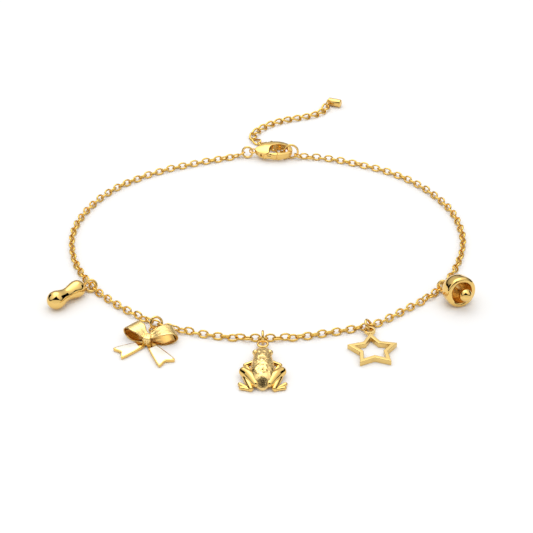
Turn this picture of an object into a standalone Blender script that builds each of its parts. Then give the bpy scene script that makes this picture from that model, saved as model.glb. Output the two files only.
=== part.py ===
"""Charm necklace lying closed on a table: chain, lobster clasp, extender and five charms.

Run with: blender --background --python part.py
Metres, +Z up, the table at z = 0, the clasp side towards +Y.
"""
import math

import bmesh
import bpy
from mathutils import Matrix, Vector

MM = 0.001

# Clearances
PIN_CLEARANCE = 0.14 * MM
SLOT_CLEARANCE = 0.10 * MM
INLAY_CLEARANCE = 0.10 * MM
REST_CLEARANCE = 0.05 * MM

# Cable chain: each link is an oval of round wire, turned 90 degrees from its neighbours
LINK_LENGTH = 3.3 * MM
LINK_WIDTH = 2.6 * MM
LINK_WIRE = 0.45 * MM
LINK_PITCH = 2.45 * MM
LINK_REACH = LINK_LENGTH / 2 - LINK_WIRE * 0.7
CHAIN_DIAMETER = 2.0 * MM
CHAIN_STEP = 5.5 * MM
END_SLACK = 0.50 * MM
END_PITCH = 22.0

# The chosen route of the chain on the table, from the clasp's ring round to its last bend; its end
# lies as far from its start as the clasp and the rings reach
CHAIN_ROUTE = [
    (-9.9, 60.0), (-18.0, 56.9), (-27.7, 53.5), (-41.9, 46.9), (-53.4, 38.4), (-61.8, 28.3),
    (-67.4, 16.4), (-70.1, 3.0), (-68.7, -11.0), (-64.6, -22.6), (-58.5, -32.9), (-50.0, -42.3),
    (-41.0, -49.6), (-35.2, -53.3), (-25.0, -57.2), (-14.2, -59.8), (-1.0, -60.6), (10.0, -60.0),
    (21.0, -57.6), (35.2, -53.3), (44.8, -46.2), (53.2, -39.0), (59.2, -32.6), (65.4, -21.6),
    (69.8, -8.0), (70.8, 4.0), (68.6, 17.8), (62.2, 31.2), (53.3, 41.9), (43.1, 49.3),
    (30.0, 55.2), (20.9, 57.9),
]
RINGS_REACH = 6.6 * MM
CHAIN_END_FORWARD = 1.3 * MM
# The chosen route of the extender, from its end drop round to the ring behind the clasp
EXTENDER_ROUTE = [
    (25.4, 102.0), (25.0, 100.0), (22.9, 96.4), (19.2, 93.9), (15.3, 92.3), (11.1, 91.0),
    (7.0, 89.4), (3.0, 87.1), (-0.5, 84.2), (-3.4, 80.8), (-5.4, 77.0), (-5.2, 73.0),
    (-2.4, 69.8), (1.4, 67.2), (5.0, 64.6),
]

# Where the charms hang, as shares of the chain's length
PEANUT_STATION = 0.3268
BOW_STATION = 0.4067
FROG_STATION = 0.4971
STAR_STATION = 0.5924
BELL_STATION = 0.6740

# Where each piece hangs on its own ring, in degrees counted from the ring's side
PEANUT_HOLD = 205.0
BOW_HOLD = 222.0
FROG_HOLD = 208.0
STAR_HOLD = 200.0
BELL_HOLD = 50.0
CLASP_HOLD = 18.0
EXTENDER_HOLD = 229.0

# Jump rings
RING_DIAMETER = 4.8 * MM
RING_WIRE = 0.62 * MM
CLASP_RING_DIAMETER = 4.9 * MM
CATCH_RING_DIAMETER = 6.2 * MM

# Extender: curb links twisted so that each lies in the next
CURB_LENGTH = 5.4 * MM
CURB_WIDTH = 3.6 * MM
CURB_WIRE = 0.5 * MM
CURB_RISE = 0.55 * MM
CURB_SLACK = 0.15 * MM
CURB_PITCH = CURB_LENGTH - 2 * CURB_WIRE - CURB_SLACK
CATCH_SLACK = 0.6 * MM
DROP_LIFT = 0.45 * MM

# End drop of the extender
DROP_DIAMETER = 3.3 * MM
DROP_LENGTH = 5.6 * MM
DROP_LOOP_DIAMETER = 3.6 * MM
DROP_LOOP_WIRE = 0.5 * MM
DROP_TURN = -22.0

# Lobster clasp
CLASP_LENGTH = 15.7 * MM
CLASP_WIDTH = 8.0 * MM
CLASP_THICKNESS = 2.8 * MM
CLASP_END_THICKNESS = 1.7 * MM
CLASP_HOOK_WIDTH = 1.6 * MM
CLASP_EDGE_ROUNDING = 0.75 * MM
CLASP_SLOT = 1.4 * MM
CLASP_TILT = 15.0
CLASP_TURN = 1.0
CLASP_HEIGHT = 2.95 * MM
CLASP_LOOP_DIAMETER = 3.1 * MM
CLASP_LOOP_WIRE = 0.65 * MM
PIN_DIAMETER = 0.9 * MM
HUB_DIAMETER = 3.0 * MM
KNUCKLE_DIAMETER = 3.7 * MM
NUB_DIAMETER = 1.5 * MM
LEVER_ARM_WIDTH = 1.0 * MM
LEVER_SWING = 20.0

# Peanut charm
PEANUT_LENGTH = 15.4 * MM
PEANUT_LOBE_DIAMETER = 6.4 * MM
PEANUT_TOP_LOBE_DIAMETER = 6.0 * MM
PEANUT_WAIST_DIAMETER = 4.5 * MM
PEANUT_TURN = -41.7

# Bow charm
BOW_LOOP_REACH = 10.2 * MM
BOW_LOOP_HEIGHT = 4.5 * MM
BOW_LOOP_RAISE = 28.0
BOW_RIBBON_WIDTH = 5.6 * MM
BOW_RIBBON_THICKNESS = 0.5 * MM
BOW_KNOT_LENGTH = 3.2 * MM
BOW_KNOT_WIDTH = 2.8 * MM
BOW_KNOT_HEIGHT = 3.4 * MM
BOW_TAIL_THICKNESS = 1.15 * MM
BOW_TAIL_WIDTH = 6.2 * MM
BOW_TAIL_SPREAD = 40.0
BOW_LEFT_TAIL = 10.6 * MM
BOW_RIGHT_TAIL = 12.4 * MM
BOW_TAIL_START = 1.35 * MM
BOW_NOTCH = 2.0 * MM
BOW_NECK = 8.2 * MM
BOW_TURN = -10.0
ENAMEL_RIM = 0.45 * MM
ENAMEL_DEPTH = 0.5 * MM
ENAMEL_START = 4.0 * MM

# Frog charm
FROG_LENGTH = 20.0 * MM
FROG_BODY_WIDTH = 6.8 * MM
FROG_HEIGHT = 5.0 * MM
FROG_SPAN = 14.6 * MM
FROG_THIGH_DIAMETER = 2.5 * MM
FROG_SHIN_DIAMETER = 1.7 * MM
FROG_ARM_DIAMETER = 1.3 * MM
FROG_EYE_DIAMETER = 1.6 * MM

# Star charm
STAR_RADIUS = 8.2 * MM
STAR_WAIST_RADIUS = 4.7 * MM
STAR_WALL = 1.35 * MM
STAR_THICKNESS = 1.9 * MM
STAR_TURN = 4.7

# Bell charm
BELL_DIAMETER = 10.8 * MM
BELL_HEIGHT = 7.4 * MM
BELL_MOUTH_DIAMETER = 7.4 * MM
BELL_WALL = 0.7 * MM
BELL_BORE = 1.0 * MM
BELL_SHANK = 1.0 * MM
CLAPPER_WIRE = 0.7 * MM
CLAPPER_BALL = 3.8 * MM
CLAPPER_DROP = 2.0 * MM
CLAPPER_LEAN = 1.2 * MM
BELL_HEADING = (0.40, -0.915)

# Charm eyelets
EYELET_WIRE = 0.6 * MM
EYELET_DIAMETER = 3.1 * MM
WIDE_EYELET_DIAMETER = 3.7 * MM
EYELET_SLACK = 0.3 * MM

# How finely round shapes are cut
RING_STEPS = 20
RING_SIDES = 8
LINK_STEPS = 14
LINK_SIDES = 6


def clear_scene():
    for item in list(bpy.data.objects):
        bpy.data.objects.remove(item, do_unlink=True)


def make_material(name, colour, roughness, metallic):
    material = bpy.data.materials.new(name)
    material.use_nodes = True
    shader = material.node_tree.nodes["Principled BSDF"]
    shader.inputs["Base Color"].default_value = (*colour, 1.0)
    shader.inputs["Roughness"].default_value = roughness
    shader.inputs["Metallic"].default_value = metallic
    return material


def finish_mesh(name, bm, material, parent=None, smooth_angle=40.0):
    """Turns a bmesh into a named object whose faces point outwards."""
    bmesh.ops.recalc_face_normals(bm, faces=bm.faces)
    mesh = bpy.data.meshes.new(name)
    bm.to_mesh(mesh)
    bm.free()
    mesh.materials.append(material)
    mesh.shade_smooth()
    mesh.set_sharp_from_angle(angle=math.radians(smooth_angle))
    item = bpy.data.objects.new(name, mesh)
    bpy.context.collection.objects.link(item)
    item.parent = parent
    return item


def as_guide(item):
    """A cutter or an added shape that only feeds a Boolean."""
    item.hide_render = True
    item.display_type = "WIRE"
    return item


def combine(target, items, operation):
    for item in items:
        as_guide(item)
        step = target.modifiers.new(operation.title(), "BOOLEAN")
        step.operation = operation
        step.solver = "EXACT"
        step.object = item
    return target


def add_tube(bm, points, radii, sides, up, closed):
    """Sweeps a round section along points; open ends are capped."""
    rings = []
    count = len(points)
    for index, point in enumerate(points):
        before = points[index - 1] if closed or index else point
        after = points[(index + 1) % count] if closed or index < count - 1 else point
        along = (after - before).normalized()
        side = along.cross(up).normalized()
        over = side.cross(along)
        ring = []
        for corner in range(sides):
            turn = 2.0 * math.pi * corner / sides
            offset = side * math.cos(turn) + over * math.sin(turn)
            ring.append(bm.verts.new(point + offset * radii[index]))
        rings.append(ring)
    for index in range(count if closed else count - 1):
        near = rings[index]
        far = rings[(index + 1) % count]
        for corner in range(sides):
            following = (corner + 1) % sides
            bm.faces.new((near[corner], near[following], far[following], far[corner]))
    if not closed:
        bm.faces.new(rings[0])
        bm.faces.new(rings[-1])


def make_tube(name, points, radii, sides, up, closed, material, parent=None):
    bm = bmesh.new()
    add_tube(bm, points, radii, sides, up, closed)
    return finish_mesh(name, bm, material, parent)


def circle_points(centre, normal, radius, steps):
    normal = normal.normalized()
    helper = Vector((0, 0, 1)) if abs(normal.z) < 0.9 else Vector((0, 1, 0))
    first = helper.cross(normal).normalized()
    second = normal.cross(first)
    points = []
    for index in range(steps):
        turn = 2.0 * math.pi * index / steps
        points.append(centre + (first * math.cos(turn) + second * math.sin(turn)) * radius)
    return points


def make_ring(name, centre, normal, diameter, wire, material, parent=None, steps=RING_STEPS):
    """A round ring of round wire; the diameter is its outside."""
    points = circle_points(centre, normal, (diameter - wire) / 2, steps)
    radii = [wire / 2] * steps
    return make_tube(name, points, radii, RING_SIDES, normal.normalized(), True, material, parent)


def make_capsule(name, points, radii, sides, up, material, parent=None):
    """A limb through points with its own radius at each, and rounded ends."""
    start = (points[0] - points[1]).normalized()
    end = (points[-1] - points[-2]).normalized()
    spine = []
    sizes = []
    for share in (0.97, 0.7):
        spine.append(points[0] + start * radii[0] * share)
        sizes.append(radii[0] * math.sqrt(1.0 - share * share))
    spine += points
    sizes += radii
    for share in (0.7, 0.97):
        spine.append(points[-1] + end * radii[-1] * share)
        sizes.append(radii[-1] * math.sqrt(1.0 - share * share))
    return make_tube(name, spine, sizes, sides, up, False, material, parent)


def make_ball(name, centre, diameter, material, parent=None, segments=14, rings=8):
    bm = bmesh.new()
    bmesh.ops.create_uvsphere(bm, u_segments=segments, v_segments=rings, radius=diameter / 2)
    bmesh.ops.translate(bm, verts=bm.verts, vec=centre)
    return finish_mesh(name, bm, material, parent)


def make_prism(name, outline, low, high, material, parent=None, upright=False):
    """An outline in plan made solid between two heights; upright, it is drawn in XZ instead."""
    bm = bmesh.new()
    bottom = [bm.verts.new((x, y, low)) for x, y in outline]
    top = [bm.verts.new((x, y, high)) for x, y in outline]
    bm.faces.new(bottom)
    bm.faces.new(top)
    count = len(outline)
    for index in range(count):
        following = (index + 1) % count
        bm.faces.new((bottom[index], bottom[following], top[following], top[index]))
    if upright:
        bmesh.ops.rotate(bm, verts=bm.verts, matrix=Matrix.Rotation(math.pi / 2, 3, "X"))
    return finish_mesh(name, bm, material, parent)


def make_disc(name, x, y, diameter, low, high, material, parent=None, steps=18):
    outline = []
    for index in range(steps):
        turn = 2.0 * math.pi * index / steps
        outline.append((x + math.cos(turn) * diameter / 2, y + math.sin(turn) * diameter / 2))
    return make_prism(name, outline, low, high, material, parent)


def round_edges(item, width, segments=2):
    step = item.modifiers.new("Bevel", "BEVEL")
    step.width = width
    step.segments = segments
    step.limit_method = "ANGLE"
    step.angle_limit = math.radians(50)
    return item


def smooth_route(points, closed=False, steps=12):
    """A Catmull-Rom curve through plan points."""
    points = [Vector(point) for point in points]
    count = len(points)
    if not closed:
        points = [points[0] * 2 - points[1]] + points + [points[-1] * 2 - points[-2]]
        spans = range(1, count)
    else:
        spans = range(count)
    curve = []
    for span in spans:
        a, b, c, d = (points[(span + shift) % len(points)] for shift in (-1, 0, 1, 2))
        for index in range(steps):
            t = index / steps
            curve.append(0.5 * (2 * b + (c - a) * t + (2 * a - 5 * b + 4 * c - d) * t * t
                                + (3 * b - a - 3 * c + d) * t * t * t))
    if not closed:
        curve.append(points[-2].copy())
    return curve


class Route:
    """A smooth line on the table that can be read by its length."""

    def __init__(self, points, height):
        curve = smooth_route([(x * MM, y * MM) for x, y in points])
        self.points = [Vector((point.x, point.y, height)) for point in curve]
        self.lengths = [0.0]
        for before, after in zip(self.points, self.points[1:]):
            self.lengths.append(self.lengths[-1] + (after - before).length)
        self.total = self.lengths[-1]

    def at(self, length):
        length = min(max(length, 0.0), self.total)
        index = 1
        while self.lengths[index] < length and index < len(self.lengths) - 1:
            index += 1
        before = self.lengths[index - 1]
        share = (length - before) / (self.lengths[index] - before)
        return self.points[index - 1].lerp(self.points[index], share)

    def heading(self, length):
        step = 0.2 * MM
        ahead = self.at(min(length + step, self.total))
        behind = self.at(max(length - step, 0.0))
        return (ahead - behind).normalized()


class OpenLink:
    """A chain link that stays open for a ring; end links pitch up from the string's end."""

    def __init__(self, route, station, outward=0):
        heading = route.heading(station)
        self.centre = route.at(station)
        self.heading = heading
        self.hold = self.centre
        if outward:
            joint = self.centre - heading * outward * LINK_REACH
            pitch = math.radians(END_PITCH)
            self.heading = heading * math.cos(pitch) * outward + Vector((0, 0, 1)) * math.sin(pitch)
            self.centre = joint + self.heading * LINK_REACH
            self.hold = self.centre + self.heading * END_SLACK

    def face(self, wire):
        """Turns the link so that the ring's wire goes straight through it."""
        self.normal = (wire - self.heading * wire.dot(self.heading)).normalized()
        self.across = self.normal.cross(self.heading)


def oval_points(link, length, width, steps):
    points = []
    for index in range(steps):
        turn = 2.0 * math.pi * index / steps
        points.append(link.centre + link.heading * math.cos(turn) * length / 2
                      + link.across * math.sin(turn) * width / 2)
    return points


def build_chain(route, stations, links, gold):
    """The chain as one body: a round string between the open links that hold the rings."""
    pieces = []
    for number, link in enumerate(links):
        points = oval_points(link, LINK_LENGTH - LINK_WIRE, LINK_WIDTH - LINK_WIRE, LINK_STEPS)
        radii = [LINK_WIRE / 2] * LINK_STEPS
        pieces.append(make_tube(f"chain_eye_{number}", points, radii, LINK_SIDES, link.normal,
                                True, gold))
    for number, (start, end) in enumerate(zip(stations, stations[1:])):
        first = start + LINK_REACH
        last = end - LINK_REACH
        steps = max(2, round((last - first) / CHAIN_STEP))
        curve = bpy.data.curves.new(f"chain_string_{number}", "CURVE")
        curve.dimensions = "3D"
        curve.bevel_depth = CHAIN_DIAMETER / 2
        curve.bevel_resolution = 2
        curve.use_fill_caps = True
        spline = curve.splines.new("POLY")
        spline.points.add(steps)
        for index in range(steps + 1):
            point = route.at(first + (last - first) * index / steps)
            spline.points[index].co = (*point, 1.0)
        source = bpy.data.objects.new(curve.name, curve)
        bpy.context.collection.objects.link(source)
        swept = bpy.data.meshes.new_from_object(source)
        bpy.data.objects.remove(source, do_unlink=True)
        bm = bmesh.new()
        bm.from_mesh(swept)
        bmesh.ops.remove_doubles(bm, verts=bm.verts, dist=0.001 * MM)
        pieces.append(finish_mesh(f"chain_string_{number}", bm, gold))
    chain = pieces[len(links)]
    pieces.remove(chain)
    combine(chain, pieces, "UNION")
    chain.name = "chain"
    chain.data.name = "chain"
    return chain


class StandingRing:
    """A ring that stands on the table, leaning back, and passes through an open link."""

    def __init__(self, eye, diameter, wire, facing, lean, eye_side):
        self.wire = wire
        self.diameter = diameter
        radius = (diameter - wire) / 2
        lean = math.radians(lean)
        facing = Vector((math.cos(math.radians(facing)), math.sin(math.radians(facing)), 0))
        self.across = Vector((0, 0, 1)).cross(facing)
        self.rise = Vector((0, 0, 1)) * math.cos(lean) - facing * math.sin(lean)
        self.normal = facing * math.cos(lean) + Vector((0, 0, 1)) * math.sin(lean)
        self.radius = radius
        height = radius * math.cos(lean) + wire / 2 + REST_CLEARANCE
        sine = (eye.z - height) / (radius * math.cos(lean))
        cosine = math.sqrt(1.0 - sine * sine) * eye_side
        self.centre = eye - (self.across * cosine + self.rise * sine) * radius
        self.eye_turn = math.degrees(math.atan2(sine, cosine))

    def point(self, degrees):
        """A point on the middle of the wire, counted from the horizontal."""
        turn = math.radians(degrees)
        return self.centre + (self.across * math.cos(turn) + self.rise * math.sin(turn)) * self.radius

    def tangent(self, degrees):
        turn = math.radians(degrees)
        return self.rise * math.cos(turn) - self.across * math.sin(turn)

    def build(self, name, gold):
        return make_ring(name, self.centre, self.normal, self.diameter, self.wire, gold)


def make_anchor(name, location, turn, tilt=0.0):
    """An empty that carries one charm or the clasp."""
    anchor = bpy.data.objects.new(name, None)
    bpy.context.collection.objects.link(anchor)
    anchor.location = location
    anchor.rotation_euler = (math.radians(tilt), 0.0, math.radians(turn))
    return anchor


def eyelet_normal(anchor, tangent):
    """Halfway between upright and the ring's wire, in the charm's own axes."""
    local = anchor.rotation_euler.to_matrix().inverted() @ tangent
    return (local * math.copysign(0.7, local.z) + Vector((0, 0, 1))).normalized()


def build_extender(route, gold):
    """Twisted links along the route, each through the next."""
    count = math.ceil(route.total / CURB_PITCH)
    pitch = route.total / count
    half_length = (CURB_LENGTH - CURB_WIRE) / 2
    half_width = (CURB_WIDTH - CURB_WIRE) / 2
    steps = LINK_STEPS + 2
    for number in range(count):
        start = route.at(pitch * number)
        end = route.at(pitch * (number + 1))
        if number == 0:
            start.z += DROP_LIFT
        heading = (end - start).normalized()
        across = Vector((0, 0, 1)).cross(heading).normalized()
        points = []
        for index in range(steps):
            turn = 2.0 * math.pi * index / steps
            along = math.cos(turn)
            aside = math.sin(turn)
            points.append((start + end) / 2 + heading * along * half_length
                          + across * aside * half_width
                          + Vector((0, 0, 1)) * along * aside * CURB_RISE * 2)
        make_tube(f"extender_link_{number + 1:02d}", points, [CURB_WIRE / 2] * steps, LINK_SIDES,
                  Vector((0, 0, 1)), True, gold)


def build_end_drop(route, gold):
    """A small barrel with a loop, hung on the first extender link."""
    hold = route.at(0.0) - route.heading(0.0) * (CURB_LENGTH - CURB_WIRE - CURB_PITCH) / 2
    loop_radius = (DROP_LOOP_DIAMETER - DROP_LOOP_WIRE) / 2
    anchor = make_anchor("end_drop_anchor", (hold.x, hold.y, 0.0), DROP_TURN)
    radius = DROP_DIAMETER / 2
    centre = Vector((0, 0.2 * MM, DROP_LOOP_DIAMETER / 2 + REST_CLEARANCE))
    beside = anchor.rotation_euler.to_matrix().inverted() @ Vector((0, 0, 1)).cross(route.heading(0.0))
    loop = make_ring("end_drop_loop", centre, beside, DROP_LOOP_DIAMETER,
                     DROP_LOOP_WIRE, gold, anchor, steps=16)
    start = Vector((-0.4 * MM, centre.y + DROP_LOOP_DIAMETER / 2 + radius * 0.35, radius + REST_CLEARANCE))
    points = [start + Vector((DROP_LENGTH * share, 0, 0)) for share in (0.0, 0.04, 0.14, 0.86, 0.96, 1.0)]
    radii = [radius * share for share in (0.62, 0.86, 1.0, 1.0, 0.86, 0.62)]
    barrel = make_tube("end_drop", points, radii, 14, Vector((0, 0, 1)), False, gold, anchor)
    combine(barrel, [loop], "UNION")
    return barrel


def clasp_outline():
    """The clasp's outer edge in plan, as shares of its length and half width."""
    shares = [(0.07, 0.20), (0.25, 0.72), (0.41, 0.94), (0.60, 1.00), (0.80, 0.87), (0.94, 0.55),
              (1.00, 0.04), (0.98, -0.42), (0.86, -0.80), (0.65, -1.00), (0.40, -0.94),
              (0.20, -0.66), (0.07, -0.20)]
    points = [(x * CLASP_LENGTH, y * CLASP_WIDTH / 2) for x, y in shares]
    return [(point.x, point.y) for point in smooth_route(points, closed=True, steps=3)]


def taper_outline(side):
    """What is cut off one face of the clasp, in XZ, so that both its ends are thinner."""
    half = CLASP_THICKNESS / 2 * side
    end = CLASP_END_THICKNESS / 2 * side
    return [(-0.02 * CLASP_LENGTH, end), (0.30 * CLASP_LENGTH, half), (0.66 * CLASP_LENGTH, half),
            (CLASP_LENGTH, end), (1.2 * CLASP_LENGTH, end), (1.2 * CLASP_LENGTH, 3 * half),
            (-0.2 * CLASP_LENGTH, 3 * half), (-0.2 * CLASP_LENGTH, end)]


def pivot_place():
    return Vector((0.30 * CLASP_LENGTH, -0.36 * CLASP_WIDTH / 2))


def split_place():
    """How far out the lever's tip meets the hook's tip; both ends are arcs about the pivot."""
    return 0.645 * CLASP_LENGTH


def opening_outline():
    """The hook's opening in plan; its left end clears the lever's knuckle."""
    pivot = pivot_place()
    right = CLASP_LENGTH - CLASP_HOOK_WIDTH
    half = CLASP_WIDTH / 2 - CLASP_HOOK_WIDTH
    left = pivot.x + KNUCKLE_DIAMETER / 2
    middle = (left + right) / 2
    points = [(left - 0.2 * MM, pivot.y + 0.1 * MM), (left + 0.3 * MM, half * 0.35),
              (left + 1.5 * MM, half * 0.86), (middle + 0.5 * MM, half), (right - 0.8 * MM, half * 0.72),
              (right, 0.0), (right - 0.7 * MM, -half * 0.68), (middle + 1.2 * MM, -half),
              (middle - 1.0 * MM, -half), (left + 0.6 * MM, -half)]
    return [(point.x, point.y) for point in smooth_route(points, closed=True, steps=3)]


def build_clasp(anchor, gold):
    """Hook, hinge plates, base loop and riveted pin as one body, and the lever between the plates."""
    half = CLASP_THICKNESS / 2
    slot = CLASP_SLOT / 2
    pivot = pivot_place()
    split = split_place()
    edge = CLASP_WIDTH / 2
    hook_edge = edge - CLASP_HOOK_WIDTH
    body = make_prism("clasp_body", clasp_outline(), -half, half, gold, anchor)
    opening = make_prism("clasp_opening", opening_outline(), -2 * half, 2 * half, gold, anchor)
    tapers = [make_prism(f"clasp_taper_{label}", taper_outline(side), -CLASP_WIDTH, CLASP_WIDTH, gold,
                         anchor, upright=True) for label, side in (("top", 1), ("bottom", -1))]
    combine(body, [opening] + tapers, "DIFFERENCE")

    knuckle = KNUCKLE_DIAMETER / 2
    heel = []
    for degrees in (-100, -75, -50, -25, 0, 20):
        turn = math.radians(degrees)
        heel.append((pivot.x + knuckle * math.cos(turn), pivot.y + knuckle * math.sin(turn)))
    swing = []
    for height in (-hook_edge + 0.4 * MM, -hook_edge, -(hook_edge + edge) / 2, -edge, -1.3 * edge):
        rise = height - pivot.y
        swing.append((pivot.x + math.sqrt((split - pivot.x) ** 2 - rise ** 2), height))
    gate_space = heel + swing + [(pivot.x - 0.3 * MM, -1.3 * edge)]
    gate_cut = make_prism("clasp_gate_cut", gate_space, -2 * half, 2 * half, gold, anchor)
    combine(body, [gate_cut], "DIFFERENCE")
    round_edges(body, CLASP_EDGE_ROUNDING)

    nub = Vector((0.48 * CLASP_LENGTH, edge + 0.45 * NUB_DIAMETER))
    arm = nub - pivot
    reach = arm.length * 1.25
    ahead = math.atan2(arm.y, arm.x)
    spare = math.radians(9.0)
    swept = ahead + math.radians(LEVER_SWING)
    channel = [tuple(pivot + Vector((math.cos(turn), math.sin(turn))) * reach)
               for turn in (ahead - spare, (ahead + swept) / 2, swept + spare)]
    aside = Vector((math.cos(swept + math.pi / 2), math.sin(swept + math.pi / 2)))
    channel = ([tuple(pivot - aside * LEVER_ARM_WIDTH)] + channel
               + [tuple(pivot + aside * LEVER_ARM_WIDTH)])
    hub_space = HUB_DIAMETER + 4 * SLOT_CLEARANCE
    left = pivot.x - hub_space / 2
    right = pivot.x + knuckle * 1.2
    beside = [(left, pivot.y), (right, pivot.y), (right, -1.3 * edge), (left, -1.3 * edge)]
    cutters = [
        make_prism("clasp_slot_nub", channel, -slot, slot, gold, anchor),
        make_disc("clasp_slot_hub", pivot.x, pivot.y, hub_space, -slot, slot, gold, anchor),
        make_prism("clasp_slot_side", beside, -slot, slot, gold, anchor),
    ]
    combine(body, cutters, "DIFFERENCE")
    pin = make_disc("clasp_pin", pivot.x, pivot.y, PIN_DIAMETER, -half * 0.9, half * 0.9, gold,
                    anchor, steps=12)
    loop = make_ring("clasp_loop", Vector((0, 0, 0)), Vector((0, 0, 1)), CLASP_LOOP_DIAMETER,
                     CLASP_LOOP_WIRE, gold, anchor, steps=16)
    combine(body, [pin, loop], "UNION")

    hinge = make_anchor("clasp_hinge", (pivot.x, pivot.y, 0.0), 0.0)
    hinge.parent = anchor
    build_lever(hinge, nub - pivot, split - pivot.x, gold)
    return hinge


def build_lever(hinge, nub, split, gold):
    """The lever about its own hinge: hub, gate along the near side, and thumb nub."""
    thin = CLASP_SLOT / 2 - SLOT_CLEARANCE
    edge = -CLASP_WIDTH / 2 - pivot_place().y
    inner = edge + CLASP_HOOK_WIDTH
    tip = split - SLOT_CLEARANCE
    heel_radius = KNUCKLE_DIAMETER / 2 + SLOT_CLEARANCE
    lever = make_disc("clasp_lever", 0.0, 0.0, HUB_DIAMETER, -thin, thin, gold, hinge)
    tongue_outline = [(-0.3 * MM, edge * 0.90), (heel_radius + 0.5 * MM, edge * 0.97),
                      (heel_radius + 0.5 * MM, inner), (0.9 * MM, 0.0), (-0.3 * MM, -0.3 * MM)]
    tongue = make_prism("lever_tongue", tongue_outline, -thin, thin, gold, hinge)
    gate_outline = []
    start = math.asin(max(-1.0, edge * 0.97 / heel_radius)) if abs(edge) < heel_radius else -1.1
    finish = math.asin(inner / heel_radius)
    for index in range(5):
        turn = start + (finish - start) * index / 4
        gate_outline.append((heel_radius * math.cos(turn), heel_radius * math.sin(turn)))
    for rise in (inner, (inner + edge) / 2, edge):
        gate_outline.append((math.sqrt(tip ** 2 - rise ** 2), rise))
    gate_outline.append(((tip + heel_radius) / 2, edge))
    gate = make_prism("lever_gate", gate_outline, -CLASP_THICKNESS * 0.43, CLASP_THICKNESS * 0.43,
                      gold, hinge)
    round_edges(gate, CLASP_EDGE_ROUNDING * 0.6)
    along = nub.normalized()
    aside = Vector((-along.y, along.x)) * LEVER_ARM_WIDTH / 2
    arm_outline = [tuple(-aside), tuple(nub - aside), tuple(nub + aside), tuple(aside)]
    arm = make_prism("lever_arm", arm_outline, -thin * 0.9, thin * 0.9, gold, hinge)
    ball = make_ball("lever_nub", Vector((nub.x, nub.y, 0.0)), NUB_DIAMETER, gold, hinge, 12, 8)
    combine(lever, [tongue, gate, arm, ball], "UNION")
    bore = make_disc("lever_bore", 0.0, 0.0, PIN_DIAMETER + 2 * PIN_CLEARANCE, -CLASP_THICKNESS,
                     CLASP_THICKNESS, gold, hinge, steps=12)
    combine(lever, [bore], "DIFFERENCE")
    return lever


def build_peanut(ring, gold):
    """Two round lobes with a waist, lying on the table, and a small loop at one end."""
    place = ring.point(PEANUT_HOLD)
    anchor = make_anchor("peanut_anchor", (place.x, place.y, 0.0), PEANUT_TURN)
    lobe = PEANUT_LOBE_DIAMETER / 2
    top_lobe = PEANUT_TOP_LOBE_DIAMETER / 2
    waist = PEANUT_WAIST_DIAMETER / 2
    loop_radius = (EYELET_DIAMETER * 0.85 - EYELET_WIRE) / 2
    set_back = top_lobe - math.sqrt(top_lobe ** 2 - (top_lobe - place.z) ** 2)
    head = set_back - loop_radius - EYELET_SLACK / 2
    spacing = PEANUT_LENGTH - lobe - top_lobe
    points = []
    radii = []
    for degrees in (12, 30, 50, 70, 90):
        turn = math.radians(degrees)
        points.append(Vector((0, head - top_lobe + top_lobe * math.cos(turn), 0)))
        radii.append(top_lobe * math.sin(turn))
    for share in (0.18, 0.34, 0.50, 0.66, 0.82):
        blend = (1 - math.cos(2 * math.pi * share)) / 2
        plain = top_lobe + (lobe - top_lobe) * share
        points.append(Vector((0, head - top_lobe - spacing * share, 0)))
        radii.append(plain + (waist - plain) * blend)
    for degrees in (90, 70, 50, 30, 12):
        turn = math.radians(degrees)
        points.append(Vector((0, head - top_lobe - spacing - lobe * math.cos(turn), 0)))
        radii.append(lobe * math.sin(turn))
    slope = (lobe - top_lobe) / spacing
    far = head - top_lobe
    for point in points:
        point.z = top_lobe + (far - point.y) * slope + REST_CLEARANCE
    peanut = make_tube("peanut", points, radii, 16, Vector((0, 0, 1)), False, gold, anchor)
    local_tangent = anchor.rotation_euler.to_matrix().inverted() @ ring.tangent(PEANUT_HOLD)
    loop_centre = Vector((0, -EYELET_SLACK / 2, place.z))
    loop = make_ring("peanut_loop", loop_centre, local_tangent, EYELET_DIAMETER * 0.85, EYELET_WIRE,
                     gold, anchor, steps=14)
    combine(peanut, [loop], "UNION")
    return peanut


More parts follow.
